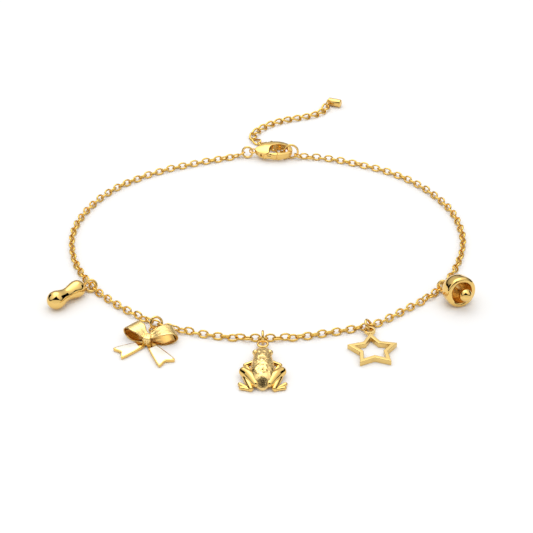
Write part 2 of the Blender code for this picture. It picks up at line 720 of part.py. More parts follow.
def bow_loop(name, side, anchor, knot_y, gold):
    """One ribbon loop: out from the knot, over the top and back, wider away from the knot."""
    thickness = BOW_RIBBON_THICKNESS
    height = BOW_LOOP_HEIGHT
    reach = BOW_LOOP_REACH
    start = BOW_KNOT_WIDTH / 2 - 0.7 * MM
    low = 2 * REST_CLEARANCE + thickness / 2
    shares = [(0.00, 0.62), (0.14, 0.70), (0.36, 0.93), (0.60, 1.00), (0.82, 0.92), (0.96, 0.70),
              (1.00, 0.47), (0.95, 0.24), (0.80, 0.07), (0.58, 0.00), (0.34, 0.03), (0.14, 0.13),
              (0.00, 0.20)]
    spine = [Vector((start + (reach - start) * x, low + (height - thickness) * z)) for x, z in shares]
    raise_turn = math.radians(BOW_LOOP_RAISE)
    out = Vector((math.cos(raise_turn) * side, math.sin(raise_turn), 0))
    across = Vector((-math.sin(raise_turn) * side, math.cos(raise_turn), 0))
    base = Vector((0, knot_y, 0))
    bm = bmesh.new()
    rows = []
    for index, point in enumerate(spine):
        before = spine[max(index - 1, 0)]
        after = spine[min(index + 1, len(spine) - 1)]
        along = (after - before).normalized()
        away = Vector((-along.y, along.x)) * thickness / 2
        spread = min(1.0, (point.x - start) / (0.55 * (reach - start)))
        half = BOW_KNOT_LENGTH * 0.36 + (BOW_RIBBON_WIDTH / 2 - BOW_KNOT_LENGTH * 0.36) * spread
        row = []
        for offset in (away, -away):
            for edge in (half, -half):
                place = point + offset
                row.append(bm.verts.new(base + out * place.x + across * edge + Vector((0, 0, place.y))))
        rows.append(row)
    for near, far in zip(rows, rows[1:]):
        for one, two in ((0, 1), (1, 3), (3, 2), (2, 0)):
            bm.faces.new((near[one], near[two], far[two], far[one]))
    for row in (rows[0], rows[-1]):
        bm.faces.new((row[0], row[1], row[3], row[2]))
    return finish_mesh(name, bm, gold, anchor)


def tail_outline(length, start, corner=0.0):
    """A ribbon tail in plan along -Y from the knot, flared, with a notched end."""
    narrow = BOW_KNOT_WIDTH * 0.28
    wide = BOW_TAIL_WIDTH / 2
    middle = -(start + length) / 2

    def half(y):
        return narrow + (wide - narrow) * (1.0 - (1.0 + y / length) ** 1.4)

    tip = [(wide - corner, -length), (wide, -length + corner)] if corner else [(wide, -length)]
    right = tip + [(half(middle), middle), (half(-start), -start)]
    return [(-x, y) for x, y in reversed(right)] + [(0.0, -length + BOW_NOTCH)] + right


def inset_outline(outline, distance):
    """The outline moved inwards by the same distance all round."""
    points = [Vector(point) for point in outline]
    count = len(points)
    moved = []
    for index, point in enumerate(points):
        one = (point - points[index - 1]).normalized()
        two = (points[(index + 1) % count] - point).normalized()
        normal = Vector((-one.y, one.x)) + Vector((-two.y, two.x))
        moved.append(tuple(point + normal * (2 * distance / normal.length_squared)))
    return moved


def build_bow(ring, gold, enamel):
    """Two ribbon loops, knot, tails and a neck with an eyelet, soldered as one; enamel in the tails."""
    place = ring.point(BOW_HOLD)
    anchor = make_anchor("bow_anchor", (place.x, place.y, 0.0), BOW_TURN)
    knot_y = -BOW_NECK
    top = REST_CLEARANCE + BOW_KNOT_HEIGHT
    knot_outline = [(-0.5, -0.5), (0.5, -0.5), (0.5, 0.5), (-0.5, 0.5)]
    knot = make_prism("bow", [(x * BOW_KNOT_WIDTH, knot_y + y * BOW_KNOT_LENGTH) for x, y in knot_outline],
                      REST_CLEARANCE * 3, top, gold, anchor)
    round_edges(knot, 0.6 * MM)
    parts = []
    eye_radius = (EYELET_DIAMETER - EYELET_WIRE) / 2
    eye_centre = Vector((0, -EYELET_SLACK, place.z + 0.1 * MM))
    parts.append(make_ring("bow_eyelet", eye_centre, eyelet_normal(anchor, ring.tangent(BOW_HOLD)),
                           EYELET_DIAMETER, EYELET_WIRE, gold, anchor, steps=16))
    neck = [Vector((0, eye_centre.y - eye_radius, eye_centre.z)),
            Vector((0, knot_y + BOW_KNOT_LENGTH * 0.3, eye_centre.z))]
    parts.append(make_tube("bow_neck", neck, [EYELET_WIRE / 2] * 2, 8, Vector((0, 0, 1)), False, gold,
                           anchor))
    cuts = []
    for label, side, length in (("left", -1, BOW_LEFT_TAIL), ("right", 1, BOW_RIGHT_TAIL)):
        holder = make_anchor(f"bow_tail_{label}_anchor", (0.0, knot_y, 0.0), BOW_TAIL_SPREAD * side)
        holder.parent = anchor
        high = REST_CLEARANCE + BOW_TAIL_THICKNESS
        parts.append(make_prism(f"bow_tail_{label}", tail_outline(length, BOW_TAIL_START, 0.35 * MM),
                                REST_CLEARANCE, high, gold, holder))
        floor = high - ENAMEL_DEPTH
        field = tail_outline(length, ENAMEL_START)
        cuts.append(make_prism(f"bow_recess_{label}", inset_outline(field, ENAMEL_RIM), floor,
                               high + ENAMEL_DEPTH, gold, holder))
        make_prism(f"enamel_{label}", inset_outline(field, ENAMEL_RIM + INLAY_CLEARANCE),
                   floor + INLAY_CLEARANCE, high, enamel, holder)
    parts += [bow_loop("bow_loop_left", -1, anchor, knot_y, gold),
              bow_loop("bow_loop_right", 1, anchor, knot_y, gold)]
    combine(knot, parts, "UNION")
    combine(knot, cuts, "DIFFERENCE")
    return knot


def frog_body(anchor, nose, gold):
    """The trunk and head, lofted through sections along the back."""
    # share of length, of half width, of height at the top, of height at the belly
    sections = [(0.000, 0.22, 0.52, 0.30), (0.035, 0.42, 0.62, 0.20), (0.120, 0.64, 0.72, 0.12),
                (0.235, 0.80, 0.80, 0.08), (0.330, 0.76, 0.86, 0.06), (0.460, 0.88, 0.97, 0.05),
                (0.600, 0.98, 1.00, 0.04), (0.740, 0.98, 0.92, 0.03), (0.870, 0.80, 0.70, 0.03),
                (0.960, 0.50, 0.46, 0.05), (1.000, 0.22, 0.30, 0.10)]
    corners = 12
    bm = bmesh.new()
    rings = []
    for along, wide, top, belly in sections:
        half = wide * FROG_BODY_WIDTH / 2
        high = top * FROG_HEIGHT
        low = belly * FROG_HEIGHT
        middle = (high + low) / 2
        ring = []
        for index in range(corners):
            turn = 2.0 * math.pi * index / corners
            ring.append(bm.verts.new((half * math.cos(turn), nose - along * FROG_LENGTH,
                                      middle + (high - low) / 2 * math.sin(turn))))
        rings.append(ring)
    for near, far in zip(rings, rings[1:]):
        for index in range(corners):
            following = (index + 1) % corners
            bm.faces.new((near[index], near[following], far[following], far[index]))
    bm.faces.new(rings[0])
    bm.faces.new(rings[-1])
    return finish_mesh("frog", bm, gold, anchor)


def build_frog(ring, gold):
    """A sitting frog: body, eyes, folded legs, arms and feet, and a flat eyelet at the nose."""
    place = ring.point(FROG_HOLD)
    anchor = make_anchor("frog_anchor", (place.x, place.y, 0.0), 0.0)
    eye_slack = EYELET_SLACK * 1.6
    eyelet_centre = Vector((0, -eye_slack, place.z))
    nose = -eye_slack - WIDE_EYELET_DIAMETER / 2 + EYELET_WIRE * 0.45
    body = frog_body(anchor, nose, gold)
    half_span = FROG_SPAN / 2
    half_body = FROG_BODY_WIDTH / 2
    thigh = FROG_THIGH_DIAMETER / 2
    shin = FROG_SHIN_DIAMETER / 2
    arm = FROG_ARM_DIAMETER / 2
    up = Vector((0, 0, 1))
    parts = [make_ring("frog_eyelet", eyelet_centre, up, WIDE_EYELET_DIAMETER, EYELET_WIRE * 1.2, gold,
                       anchor, steps=16)]

    def spot(across, along, height):
        return Vector((across, nose - along * FROG_LENGTH, height + REST_CLEARANCE))

    for label, side in (("left", -1), ("right", 1)):
        knee = spot((half_span - thigh) * side, 0.64, thigh * 1.25)
        hip = spot(half_body * 0.55 * side, 0.93, thigh * 1.05)
        mid_thigh = (knee + hip) / 2 + Vector((-0.2 * MM * side, 0.3 * MM, 0.25 * MM))
        parts.append(make_capsule(f"frog_thigh_{label}", [knee, mid_thigh, hip],
                                  [thigh * 0.8, thigh, thigh * 0.8], 10, up, gold, anchor))
        ankle = spot(half_body * 0.92 * side, 1.0, shin)
        shin_top = knee + Vector((0.25 * MM * side, -0.5 * MM, -0.35 * MM))
        parts.append(make_capsule(f"frog_shin_{label}", [shin_top, (shin_top + ankle) / 2, ankle],
                                  [shin * 0.9, shin, shin * 0.8], 10, up, gold, anchor))
        toe = spot((half_span - 0.3 * MM) * side, 0.875, shin * 0.55)
        heel = spot(half_body * 0.95 * side, 1.005, shin * 0.62)
        parts.append(make_capsule(f"frog_foot_{label}", [heel, toe], [shin * 0.6, shin * 0.55], 8, up,
                                  gold, anchor))
        inner_toe = spot((half_span - 0.6 * MM) * side, 0.955, shin * 0.5)
        parts.append(make_capsule(f"frog_toe_{label}", [heel, inner_toe], [shin * 0.55, shin * 0.5], 8,
                                  up, gold, anchor))
        shoulder = spot(half_body * 0.62 * side, 0.40, FROG_HEIGHT * 0.45)
        elbow = spot((half_span - 1.7 * MM) * side, 0.42, arm * 2.0)
        hand = spot(half_body * 1.25 * side, 0.53, arm * 1.05)
        parts.append(make_capsule(f"frog_arm_{label}", [shoulder, elbow], [arm * 1.15, arm], 8, up, gold,
                                  anchor))
        parts.append(make_capsule(f"frog_forearm_{label}", [elbow, hand], [arm, arm * 0.9], 8, up, gold,
                                  anchor))
        eye = spot(half_body * 0.62 * side, 0.25, FROG_HEIGHT * 0.68)
        parts.append(make_ball(f"frog_eye_{label}", eye, FROG_EYE_DIAMETER, gold, anchor, 10, 6))
    combine(body, parts, "UNION")
    return body


def star_outline(radius, waist):
    points = []
    for index in range(10):
        turn = math.pi / 2 + math.pi * index / 5
        size = waist if index % 2 else radius
        points.append((math.cos(turn) * size, math.sin(turn) * size))
    return points


def build_star(ring, gold):
    """An open five-pointed frame lying flat, with an eyelet beyond one tip."""
    place = ring.point(STAR_HOLD)
    anchor = make_anchor("star_anchor", (place.x, place.y, 0.0), STAR_TURN)
    eyelet_y = -EYELET_SLACK / 2
    centre_y = eyelet_y - STAR_RADIUS - WIDE_EYELET_DIAMETER / 2 + EYELET_WIRE * 0.7
    edge = Vector((math.cos(math.pi / 2) * STAR_RADIUS, STAR_RADIUS))
    corner = Vector((math.cos(math.radians(126)) * STAR_WAIST_RADIUS,
                     math.sin(math.radians(126)) * STAR_WAIST_RADIUS))
    side = (corner - edge).normalized()
    distance = abs(edge.x * side.y - edge.y * side.x)
    share = 1.0 - STAR_WALL / distance

    def shifted(outline):
        return [(x, y + centre_y) for x, y in outline]

    frame = make_prism("star", shifted(star_outline(STAR_RADIUS, STAR_WAIST_RADIUS)), 0.0,
                       STAR_THICKNESS, gold, anchor)
    hole = make_prism("star_hole", shifted(star_outline(STAR_RADIUS * share, STAR_WAIST_RADIUS * share)),
                      -STAR_THICKNESS, 2 * STAR_THICKNESS, gold, anchor)
    combine(frame, [hole], "DIFFERENCE")
    thickness = EYELET_WIRE * 1.2
    eyelet = make_disc("star_eyelet", 0.0, eyelet_y, WIDE_EYELET_DIAMETER, place.z - thickness / 2,
                       place.z + thickness / 2, gold, anchor, steps=20)
    bore = make_disc("star_bore", 0.0, eyelet_y, WIDE_EYELET_DIAMETER - 1.7 * EYELET_WIRE, -STAR_THICKNESS,
                     2 * STAR_THICKNESS, gold, anchor, steps=20)
    combine(frame, [eyelet], "UNION")
    combine(frame, [bore], "DIFFERENCE")
    return frame


def build_bell(ring, gold):
    """A turned bell with a thick lip, and a clapper whose wire passes up to the crown loop."""
    place = ring.point(BELL_HOLD)
    loop_radius = (EYELET_DIAMETER - EYELET_WIRE) / 2
    crown = -(loop_radius + BELL_SHANK)
    lip = BELL_DIAMETER / 2
    lift = math.asin((lip + REST_CLEARANCE - place.z) / (BELL_HEIGHT * 0.95 - crown))
    plan = Vector(BELL_HEADING).normalized() * math.cos(lift)
    heading = Vector((plan.x, plan.y, math.sin(lift)))
    anchor = make_anchor("bell_anchor", place, 0.0)
    anchor.rotation_mode = "QUATERNION"
    anchor.rotation_quaternion = heading.to_track_quat("-Z", "Y")
    mouth = BELL_MOUTH_DIAMETER / 2
    wall = BELL_WALL
    tall = BELL_HEIGHT
    bore = BELL_BORE / 2
    outer = [(bore, 0.0), (lip * 0.30, 0.01 * tall), (lip * 0.56, 0.09 * tall), (lip * 0.74, 0.22 * tall),
             (lip * 0.85, 0.40 * tall), (lip * 0.91, 0.60 * tall), (lip * 0.95, 0.78 * tall),
             (lip, 0.88 * tall), (lip, 0.95 * tall), (lip * 0.97, tall)]
    inner = [(mouth, tall), (mouth * 0.98, 0.86 * tall), (mouth * 0.99, 0.60 * tall),
             (lip * 0.85 - wall * 1.3, 0.42 * tall), (lip * 0.72 - wall * 1.3, 0.26 * tall), (bore, wall)]
    profile = outer + inner
    sides = 20
    bm = bmesh.new()
    rings = []
    for radius, depth in profile:
        ring_verts = []
        for index in range(sides):
            turn = 2.0 * math.pi * index / sides
            ring_verts.append(bm.verts.new((radius * math.cos(turn), radius * math.sin(turn),
                                            crown - depth)))
        rings.append(ring_verts)
    for number, near in enumerate(rings):
        far = rings[(number + 1) % len(rings)]
        for index in range(sides):
            following = (index + 1) % sides
            bm.faces.new((near[index], near[following], far[following], far[index]))
    bell = finish_mesh("bell", bm, gold, anchor)

    tangent = anchor.rotation_quaternion.to_matrix().inverted() @ ring.tangent(BELL_HOLD)
    tangent.z = 0.0
    loop = make_ring("bell_clapper", Vector((0, 0, -EYELET_SLACK)), tangent, EYELET_DIAMETER, EYELET_WIRE,
                     gold, anchor, steps=16)
    wire = CLAPPER_WIRE / 2
    end = crown - tall - CLAPPER_DROP
    local_right = anchor.rotation_quaternion.to_matrix().inverted() @ Vector((0.55, 0, 0.83))
    local_right.z = 0.0
    aside = local_right.normalized() * CLAPPER_LEAN
    stem_points = [Vector((0, 0, -EYELET_SLACK - loop_radius)), Vector((0, 0, crown - 2.2 * wall)),
                   Vector((aside.x, aside.y, end))]
    stem = make_tube("clapper_stem", stem_points, [wire] * 3, 8, Vector((0, 1, 0)), False, gold, anchor)
    ball = make_ball("clapper_ball", stem_points[-1], CLAPPER_BALL, gold, anchor, 16, 10)
    combine(loop, [stem, ball], "UNION")
    return bell


def stand_on_table(items):
    """Moves everything so that the box's bottom centre is the origin."""
    bpy.context.view_layer.update()
    graph = bpy.context.evaluated_depsgraph_get()
    low = Vector((math.inf,) * 3)
    high = Vector((-math.inf,) * 3)
    for item in items:
        if item.type != "MESH" or item.hide_render:
            continue
        shape = item.evaluated_get(graph)
        for vertex in shape.data.vertices:
            place = shape.matrix_world @ vertex.co
            low = Vector(map(min, low, place))
            high = Vector(map(max, high, place))
    shift = Vector((-(low.x + high.x) / 2, -(low.y + high.y) / 2, -low.z))
    for item in items:
        if item.parent is None:
            item.location += shift
    bpy.context.view_layer.update()


def main():
    clear_scene()
    gold = make_material("yellow_gold", (0.93, 0.69, 0.27), 0.16, 1.0)
    satin = make_material("satin_gold", (0.90, 0.70, 0.33), 0.38, 1.0)
    enamel = make_material("ivory_enamel", (0.93, 0.90, 0.80), 0.12, 0.0)

    chain_end = (CHAIN_ROUTE[0][0] + (CLASP_LENGTH + RINGS_REACH) / MM,
                 CHAIN_ROUTE[0][1] - CHAIN_END_FORWARD / MM)
    route = Route(CHAIN_ROUTE + [chain_end], CHAIN_DIAMETER / 2)
    stations = [PEANUT_STATION, BOW_STATION, FROG_STATION, STAR_STATION, BELL_STATION]
    pitch = route.total / round(route.total / LINK_PITCH)
    stations = [0.0] + [round(share * route.total / pitch) * pitch for share in stations] + [route.total]
    links = [OpenLink(route, station) for station in stations[1:-1]]
    links = [OpenLink(route, 0.0, -1)] + links + [OpenLink(route, route.total, 1)]
    clasp_eye, peanut_eye, bow_eye, frog_eye, star_eye, bell_eye, catch_eye = [link.hold for link in links]

    peanut_ring = StandingRing(peanut_eye, RING_DIAMETER, RING_WIRE, -90, 34, 1)
    bow_ring = StandingRing(bow_eye, RING_DIAMETER, RING_WIRE, -62, 34, 1)
    frog_ring = StandingRing(frog_eye, RING_DIAMETER, RING_WIRE, 0, 0, 1)
    star_ring = StandingRing(star_eye, RING_DIAMETER, RING_WIRE, -9, 35.7, 1)
    bell_ring = StandingRing(bell_eye, RING_DIAMETER, RING_WIRE, -101, 15, -1)
    clasp_ring = StandingRing(clasp_eye, CLASP_RING_DIAMETER, RING_WIRE, -100, 24, -1)
    catch_ring = StandingRing(catch_eye, CATCH_RING_DIAMETER, RING_WIRE, -100, 8, 1)
    rings = [clasp_ring, peanut_ring, bow_ring, frog_ring, star_ring, bell_ring, catch_ring]
    for link, ring in zip(links, rings):
        link.face(ring.tangent(ring.eye_turn))
    build_chain(route, stations, links, gold)
    peanut_ring.build("ring_peanut", gold)
    bow_ring.build("ring_bow", gold)
    frog_ring.build("ring_frog", gold)
    star_ring.build("ring_star", gold)
    bell_ring.build("ring_bell", gold)
    clasp_ring.build("ring_clasp", gold)
    catch_ring.build("ring_catch", gold)

    build_peanut(peanut_ring, gold)
    build_bow(bow_ring, satin, enamel)
    build_frog(frog_ring, satin)
    build_star(star_ring, satin)
    build_bell(bell_ring, gold)

    hold = clasp_ring.point(CLASP_HOLD)
    clasp_anchor = make_anchor("clasp_anchor", (hold.x, hold.y, CLASP_HEIGHT), CLASP_TURN, CLASP_TILT)
    build_clasp(clasp_anchor, gold)

    extender_height = CURB_RISE + CURB_WIRE / 2 + REST_CLEARANCE
    catch = catch_ring.point(EXTENDER_HOLD).xy / MM
    onward = (catch - Vector(EXTENDER_ROUTE[-1])).normalized() * CATCH_SLACK / MM
    extender = Route(EXTENDER_ROUTE + [tuple(catch + onward)], extender_height)
    build_extender(extender, gold)
    build_end_drop(extender, gold)
    stand_on_table(list(bpy.data.objects))


main()
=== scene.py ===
"""Dresses the charm necklace: real chain links, round rings, polished and satin gold, enamel."""
import math
import random

import bmesh
import bpy
import numpy as np
from mathutils import Matrix, Vector


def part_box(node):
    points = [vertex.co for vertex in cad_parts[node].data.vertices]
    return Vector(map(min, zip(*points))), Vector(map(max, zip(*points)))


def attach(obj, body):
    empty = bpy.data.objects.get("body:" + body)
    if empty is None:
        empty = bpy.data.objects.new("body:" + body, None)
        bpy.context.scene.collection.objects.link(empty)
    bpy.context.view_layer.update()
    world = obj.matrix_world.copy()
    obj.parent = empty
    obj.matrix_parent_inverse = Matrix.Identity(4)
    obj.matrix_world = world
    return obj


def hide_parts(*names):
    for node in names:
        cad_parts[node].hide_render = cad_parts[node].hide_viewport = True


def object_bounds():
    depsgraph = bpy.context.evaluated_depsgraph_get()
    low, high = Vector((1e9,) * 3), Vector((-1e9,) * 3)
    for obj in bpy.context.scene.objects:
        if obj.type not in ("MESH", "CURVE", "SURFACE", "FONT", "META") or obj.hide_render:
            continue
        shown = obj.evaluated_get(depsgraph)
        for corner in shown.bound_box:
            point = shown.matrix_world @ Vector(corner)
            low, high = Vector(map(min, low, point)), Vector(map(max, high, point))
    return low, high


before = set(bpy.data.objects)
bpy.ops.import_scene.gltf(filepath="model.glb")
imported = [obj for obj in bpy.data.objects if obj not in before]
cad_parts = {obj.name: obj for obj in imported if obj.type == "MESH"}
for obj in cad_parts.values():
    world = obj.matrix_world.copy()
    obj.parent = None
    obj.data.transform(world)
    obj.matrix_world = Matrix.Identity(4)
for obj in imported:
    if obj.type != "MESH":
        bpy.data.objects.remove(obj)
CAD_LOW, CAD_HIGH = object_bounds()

MM = 0.001
UP = Vector((0, 0, 1))
BODY = "necklace"

# Sizes are drawn to the photo, so some differ a little from those of the solids.

# The chain's chosen route on the table, as in the part's source with the end at the clasp, and
# where its origin is in the frame
CHAIN_ROUTE = [
    (-9.9, 60.0), (-18.0, 56.9), (-27.7, 53.5), (-41.9, 46.9), (-53.4, 38.4), (-61.8, 28.3),
    (-67.4, 16.4), (-70.1, 3.0), (-68.7, -11.0), (-64.6, -22.6), (-58.5, -32.9), (-50.0, -42.3),
    (-41.0, -49.6), (-35.2, -53.3), (-25.0, -57.2), (-14.2, -59.8), (-1.0, -60.6), (10.0, -60.0),
    (21.0, -57.6), (35.2, -53.3), (44.8, -46.2), (53.2, -39.0), (59.2, -32.6), (65.4, -21.6),
    (69.8, -8.0), (70.8, 4.0), (68.6, 17.8), (62.2, 31.2), (53.3, 41.9), (43.1, 49.3),
    (30.0, 55.2), (20.9, 57.9), (12.4, 58.7),
]
ROUTE_ORIGIN = (0.97, -9.71)
ROUTE_HEIGHT = 1.02 * MM

# Where the charms hang, as shares of the chain's length, and the rings there
STATIONS = {
    "ring_peanut": 0.3268, "ring_bow": 0.4067, "ring_frog": 0.4971, "ring_star": 0.5924,
    "ring_bell": 0.6740,
}

# Cable chain
LINK_LENGTH = 3.78 * MM
LINK_WIDTH = 2.84 * MM
LINK_WIRE = 0.66 * MM
LINK_PITCH = 2.45 * MM
LINK_REACH = 1.335 * MM
END_PITCH = 22.0
REST_ROLL = 45.0
ROLL_RELAX = 6
ROLL_JITTER = 7.0
LINK_STEPS = 26
LINK_SIDES = 10
# Least height of a link's middle, and gap between a free link and the table
LINK_HEIGHT = 0.86 * MM
LINK_GAP = 0.02 * MM

# Extender's twisted curb links
CURB_LENGTH = 5.4 * MM
CURB_WIDTH = 3.6 * MM
CURB_WIRE = 0.78 * MM
CURB_RISE = 0.55 * MM
CURB_STEPS = 36

# How much heavier the jump rings' round wire is drawn than the solids' eight-sided wire
RING_FULLNESS = 1.42

# How high the whole part was lifted so that its lowest point is on the table
GROUND = 0.018 * MM

# Gap between a lying charm and the table, and the thinnest that a rounded limb's end gets
REST = 0.05 * MM
THINNEST = 0.05 * MM

# Where each piece hangs on its ring, in degrees, as in the part's source
PEANUT_HOLD = 205.0
BOW_HOLD = 222.0
FROG_HOLD = 208.0
STAR_HOLD = 200.0
BELL_HOLD = 50.0

# Eyelets
EYELET_WIRE = 0.6 * MM
EYELET_DIAMETER = 3.1 * MM
WIDE_EYELET_DIAMETER = 3.7 * MM
EYELET_SLACK = 0.3 * MM

# End drop
DROP_DIAMETER = 3.3 * MM
DROP_LENGTH = 5.6 * MM
DROP_LOOP_DIAMETER = 3.6 * MM
DROP_LOOP_WIRE = 0.5 * MM
DROP_TURN = -22.0

# Peanut
PEANUT_LENGTH = 15.4 * MM
PEANUT_LOBE = 3.2 * MM
PEANUT_TOP_LOBE = 3.0 * MM
PEANUT_WAIST = 2.25 * MM
PEANUT_TURN = -41.7

# Bow
BOW_LEFT_REACH = 8.8 * MM
BOW_RIGHT_REACH = 9.5 * MM
LOOP_RISE = 4.0 * MM
# Gap between a loop and the table, and how far inside the knot a loop starts
LOOP_GAP = 0.1 * MM
LOOP_START = 0.7 * MM
GATHER_DEPTH = 0.14 * MM
BOW_LEFT_RAISE = 36.0
BOW_RIGHT_RAISE = 28.0
RIBBON_WIDTH = 5.6 * MM
RIBBON_THICKNESS = 0.42 * MM
KNOT_LENGTH = 3.7 * MM
KNOT_WIDTH = 2.9 * MM
KNOT_HEIGHT = 3.4 * MM
KNOT_GAP = 0.15 * MM
KNOT_SQUARENESS = 0.45
TAIL_THICKNESS = 1.15 * MM
TAIL_WIDTH = 6.2 * MM
LEFT_SPREAD = 47.0
RIGHT_SPREAD = 42.0
LEFT_TAIL = 11.6 * MM
RIGHT_TAIL = 13.6 * MM
TAIL_START = 1.35 * MM
TAIL_NOTCH = 1.8 * MM
TAIL_RIM = 0.38 * MM
TAIL_TIP = 1.35 * MM
TAIL_EDGE = 0.16 * MM
ENAMEL_START = 3.4 * MM
ENAMEL_DEPTH = 0.3 * MM
ENAMEL_RISE = 0.07 * MM
ENAMEL_EDGE = 0.08 * MM
BOW_NECK = 7.4 * MM
BOW_TURN = -10.0
# Share of a loop's reach and of its height, from the knot over the top and back under
RIBBON_SPINE = [
    (0.00, 0.62), (0.14, 0.70), (0.36, 0.93), (0.60, 1.00), (0.82, 0.92), (0.96, 0.70), (1.00, 0.47),
    (0.95, 0.24), (0.80, 0.07), (0.58, 0.00), (0.34, 0.03), (0.14, 0.13), (0.00, 0.20),
]
# Place across the knot's half width, width and depth of its folds, as shares
KNOT_FOLDS = [(-0.25, 0.10, 0.045), (0.45, 0.09, 0.035)]

# Frog
FROG_LENGTH = 20.0 * MM
FROG_BODY_WIDTH = 7.8 * MM
FROG_HEIGHT = 5.0 * MM
FROG_SPAN = 15.0 * MM
THIGH = 1.6 * MM
SHIN = 0.95 * MM
ARM = 0.78 * MM
FROG_EYE = 2.0 * MM
NOSE_FORWARD = 0.7 * MM
# Place of an eye as shares of half the width, of the length and of the height
EYE_PLACE = (0.60, 0.20, 0.56)
# How far each toe ends inside the span in mm, along the length, and its thickness, as shares
TOES = [(0.35, 0.875, 0.72), (0.65, 0.965, 0.66)]
# Share of the length, of half the width, and of the height at the top and at the belly
FROG_SECTIONS = [
    (-0.010, 0.20, 0.34, 0.20), (0.025, 0.42, 0.46, 0.14), (0.090, 0.60, 0.66, 0.10),
    (0.180, 0.72, 0.80, 0.08), (0.330, 0.80, 0.90, 0.06), (0.460, 0.89, 0.96, 0.05),
    (0.600, 0.98, 1.00, 0.04), (0.740, 1.00, 0.97, 0.03), (0.870, 0.86, 0.82, 0.03),
    (0.960, 0.58, 0.52, 0.05), (1.015, 0.24, 0.30, 0.10),
]
# Place as a share of the length, radius, width and height of the ring behind the head
COLLAR = (0.36, 0.75 * MM, 0.22 * MM, 0.16 * MM)
# Place as a share of the length, width and depth of the dimple before the rump
DIMPLE = (0.775, 0.55 * MM, 0.42 * MM)
# Count of pebbles, from and to which share of the length, spread across, sizes and heights in mm
PEBBLES = [
    (80, 0.50, 0.84, 0.36, 0.22, 0.42, 0.08, 0.22),
    (90, 0.10, 0.50, 0.34, 0.20, 0.34, 0.04, 0.11),
]

# Star
STAR_RADIUS = 8.6 * MM
STAR_WAIST = 4.8 * MM
STAR_WALL = 1.35 * MM
STAR_THICKNESS = 1.9 * MM
STAR_TURN = 3.2
STAR_EDGE = 0.26 * MM
EYELET_EDGE = 0.12 * MM

# Bell
BELL_RADIUS = 5.4 * MM
BELL_HEIGHT = 7.4 * MM
BELL_MOUTH = 3.7 * MM
BELL_WALL = 0.7 * MM
BELL_BORE = 0.5 * MM
BELL_SHANK = 1.0 * MM
BELL_HEADING = (0.40, -0.915)
CLAPPER_WIRE = 0.7 * MM
CLAPPER_BALL = 4.4 * MM
CLAPPER_DROP = 2.0 * MM
CLAPPER_LEAN = 0.1 * MM

# Fineness and smoothing of the skins that join overlapping forms
CLASP_SKIN = (0.08 * MM, 24)
LEVER_SKIN = (0.07 * MM, 6)
LIMB_SKIN = (0.10 * MM, 4)

# Scale of the drift in tone and gloss, and strength of the fine relief
DRIFT_SCALE = 260.0
RELIEF_STRENGTH = 0.6
# Bend along X and Y, per metre, that shades the clasp's flat top as a dome
CLASP_DOME = (45.0, 130.0)

# Camera
CAMERA_PLACE = (0.97 * MM, -440.7 * MM, 279.0 * MM)
CAMERA_ELEVATION = 34.0
CAMERA_LENS = 95.9

# Studio
WORLD_LIGHT = 1.82
# sine of the height above the horizon, and brightness there
WORLD_STEPS = [(0.0, 0.004), (0.12, 0.006), (0.16, 0.18), (0.30, 0.34), (0.56, 0.50), (0.80, 0.62),
               (0.93, 0.85), (1.0, 1.0)]
OVERHEAD_POWER = 1.2
OVERHEAD_HEIGHT = 1.2
OVERHEAD_SIZE = 1.6
BOARD_LIGHT = 0.90
BOARD_DISTANCE = 0.75
CARD_DISTANCE = 0.70
FLOOR_SIZE = 6.0
# In degrees: bearing from the camera's side, and lowest and highest part of the card there
FRONT_BOARD = [(-70, 0, 2), (-56, 0, 13), (-40, 0, 25), (-20, 0, 31), (0, 0, 33), (20, 0, 31),
               (40, 0, 25), (56, 0, 13), (70, 0, 2)]
DARK_CARD = [(-72, 1, 9), (-60, 8, 17), (-48, 18, 30), (-36, 25, 50), (-20, 30, 70), (0, 32, 82),
             (20, 30, 70), (36, 25, 50), (48, 18, 30), (60, 8, 17), (72, 1, 9)]
# The same for the cards at the sides, which leave dark bands on rounded metal
SIDE_CARD = [(90, 6, 12), (98, 3, 30), (108, 3, 37), (118, 8, 33), (126, 15, 22)]
GLOW_PLACE = (-0.11, 0.35, 0.71)
GLOW_SIZE = 0.50
GLOW_LIGHT = 3.0


def smooth_line(points, steps=12):
    """A Catmull-Rom curve through points of any dimension."""
    points = [Vector(point) for point in points]
    points = [points[0] * 2 - points[1]] + points + [points[-1] * 2 - points[-2]]
    curve = []
    for span in range(1, len(points) - 2):
        a, b, c, d = points[span - 1:span + 3]
        for index in range(steps):
            t = index / steps
            curve.append(0.5 * (2 * b + (c - a) * t + (2 * a - 5 * b + 4 * c - d) * t * t
                                + (3 * b - a - 3 * c + d) * t * t * t))
    curve.append(points[-2].copy())
    return curve


def turns(count):
    """Angles evenly spaced round a circle."""
    return [2.0 * math.pi * index / count for index in range(count)]


def signed_power(value, power):
    """A value's power that keeps the value's sign."""
    return math.copysign(abs(value) ** power, value)


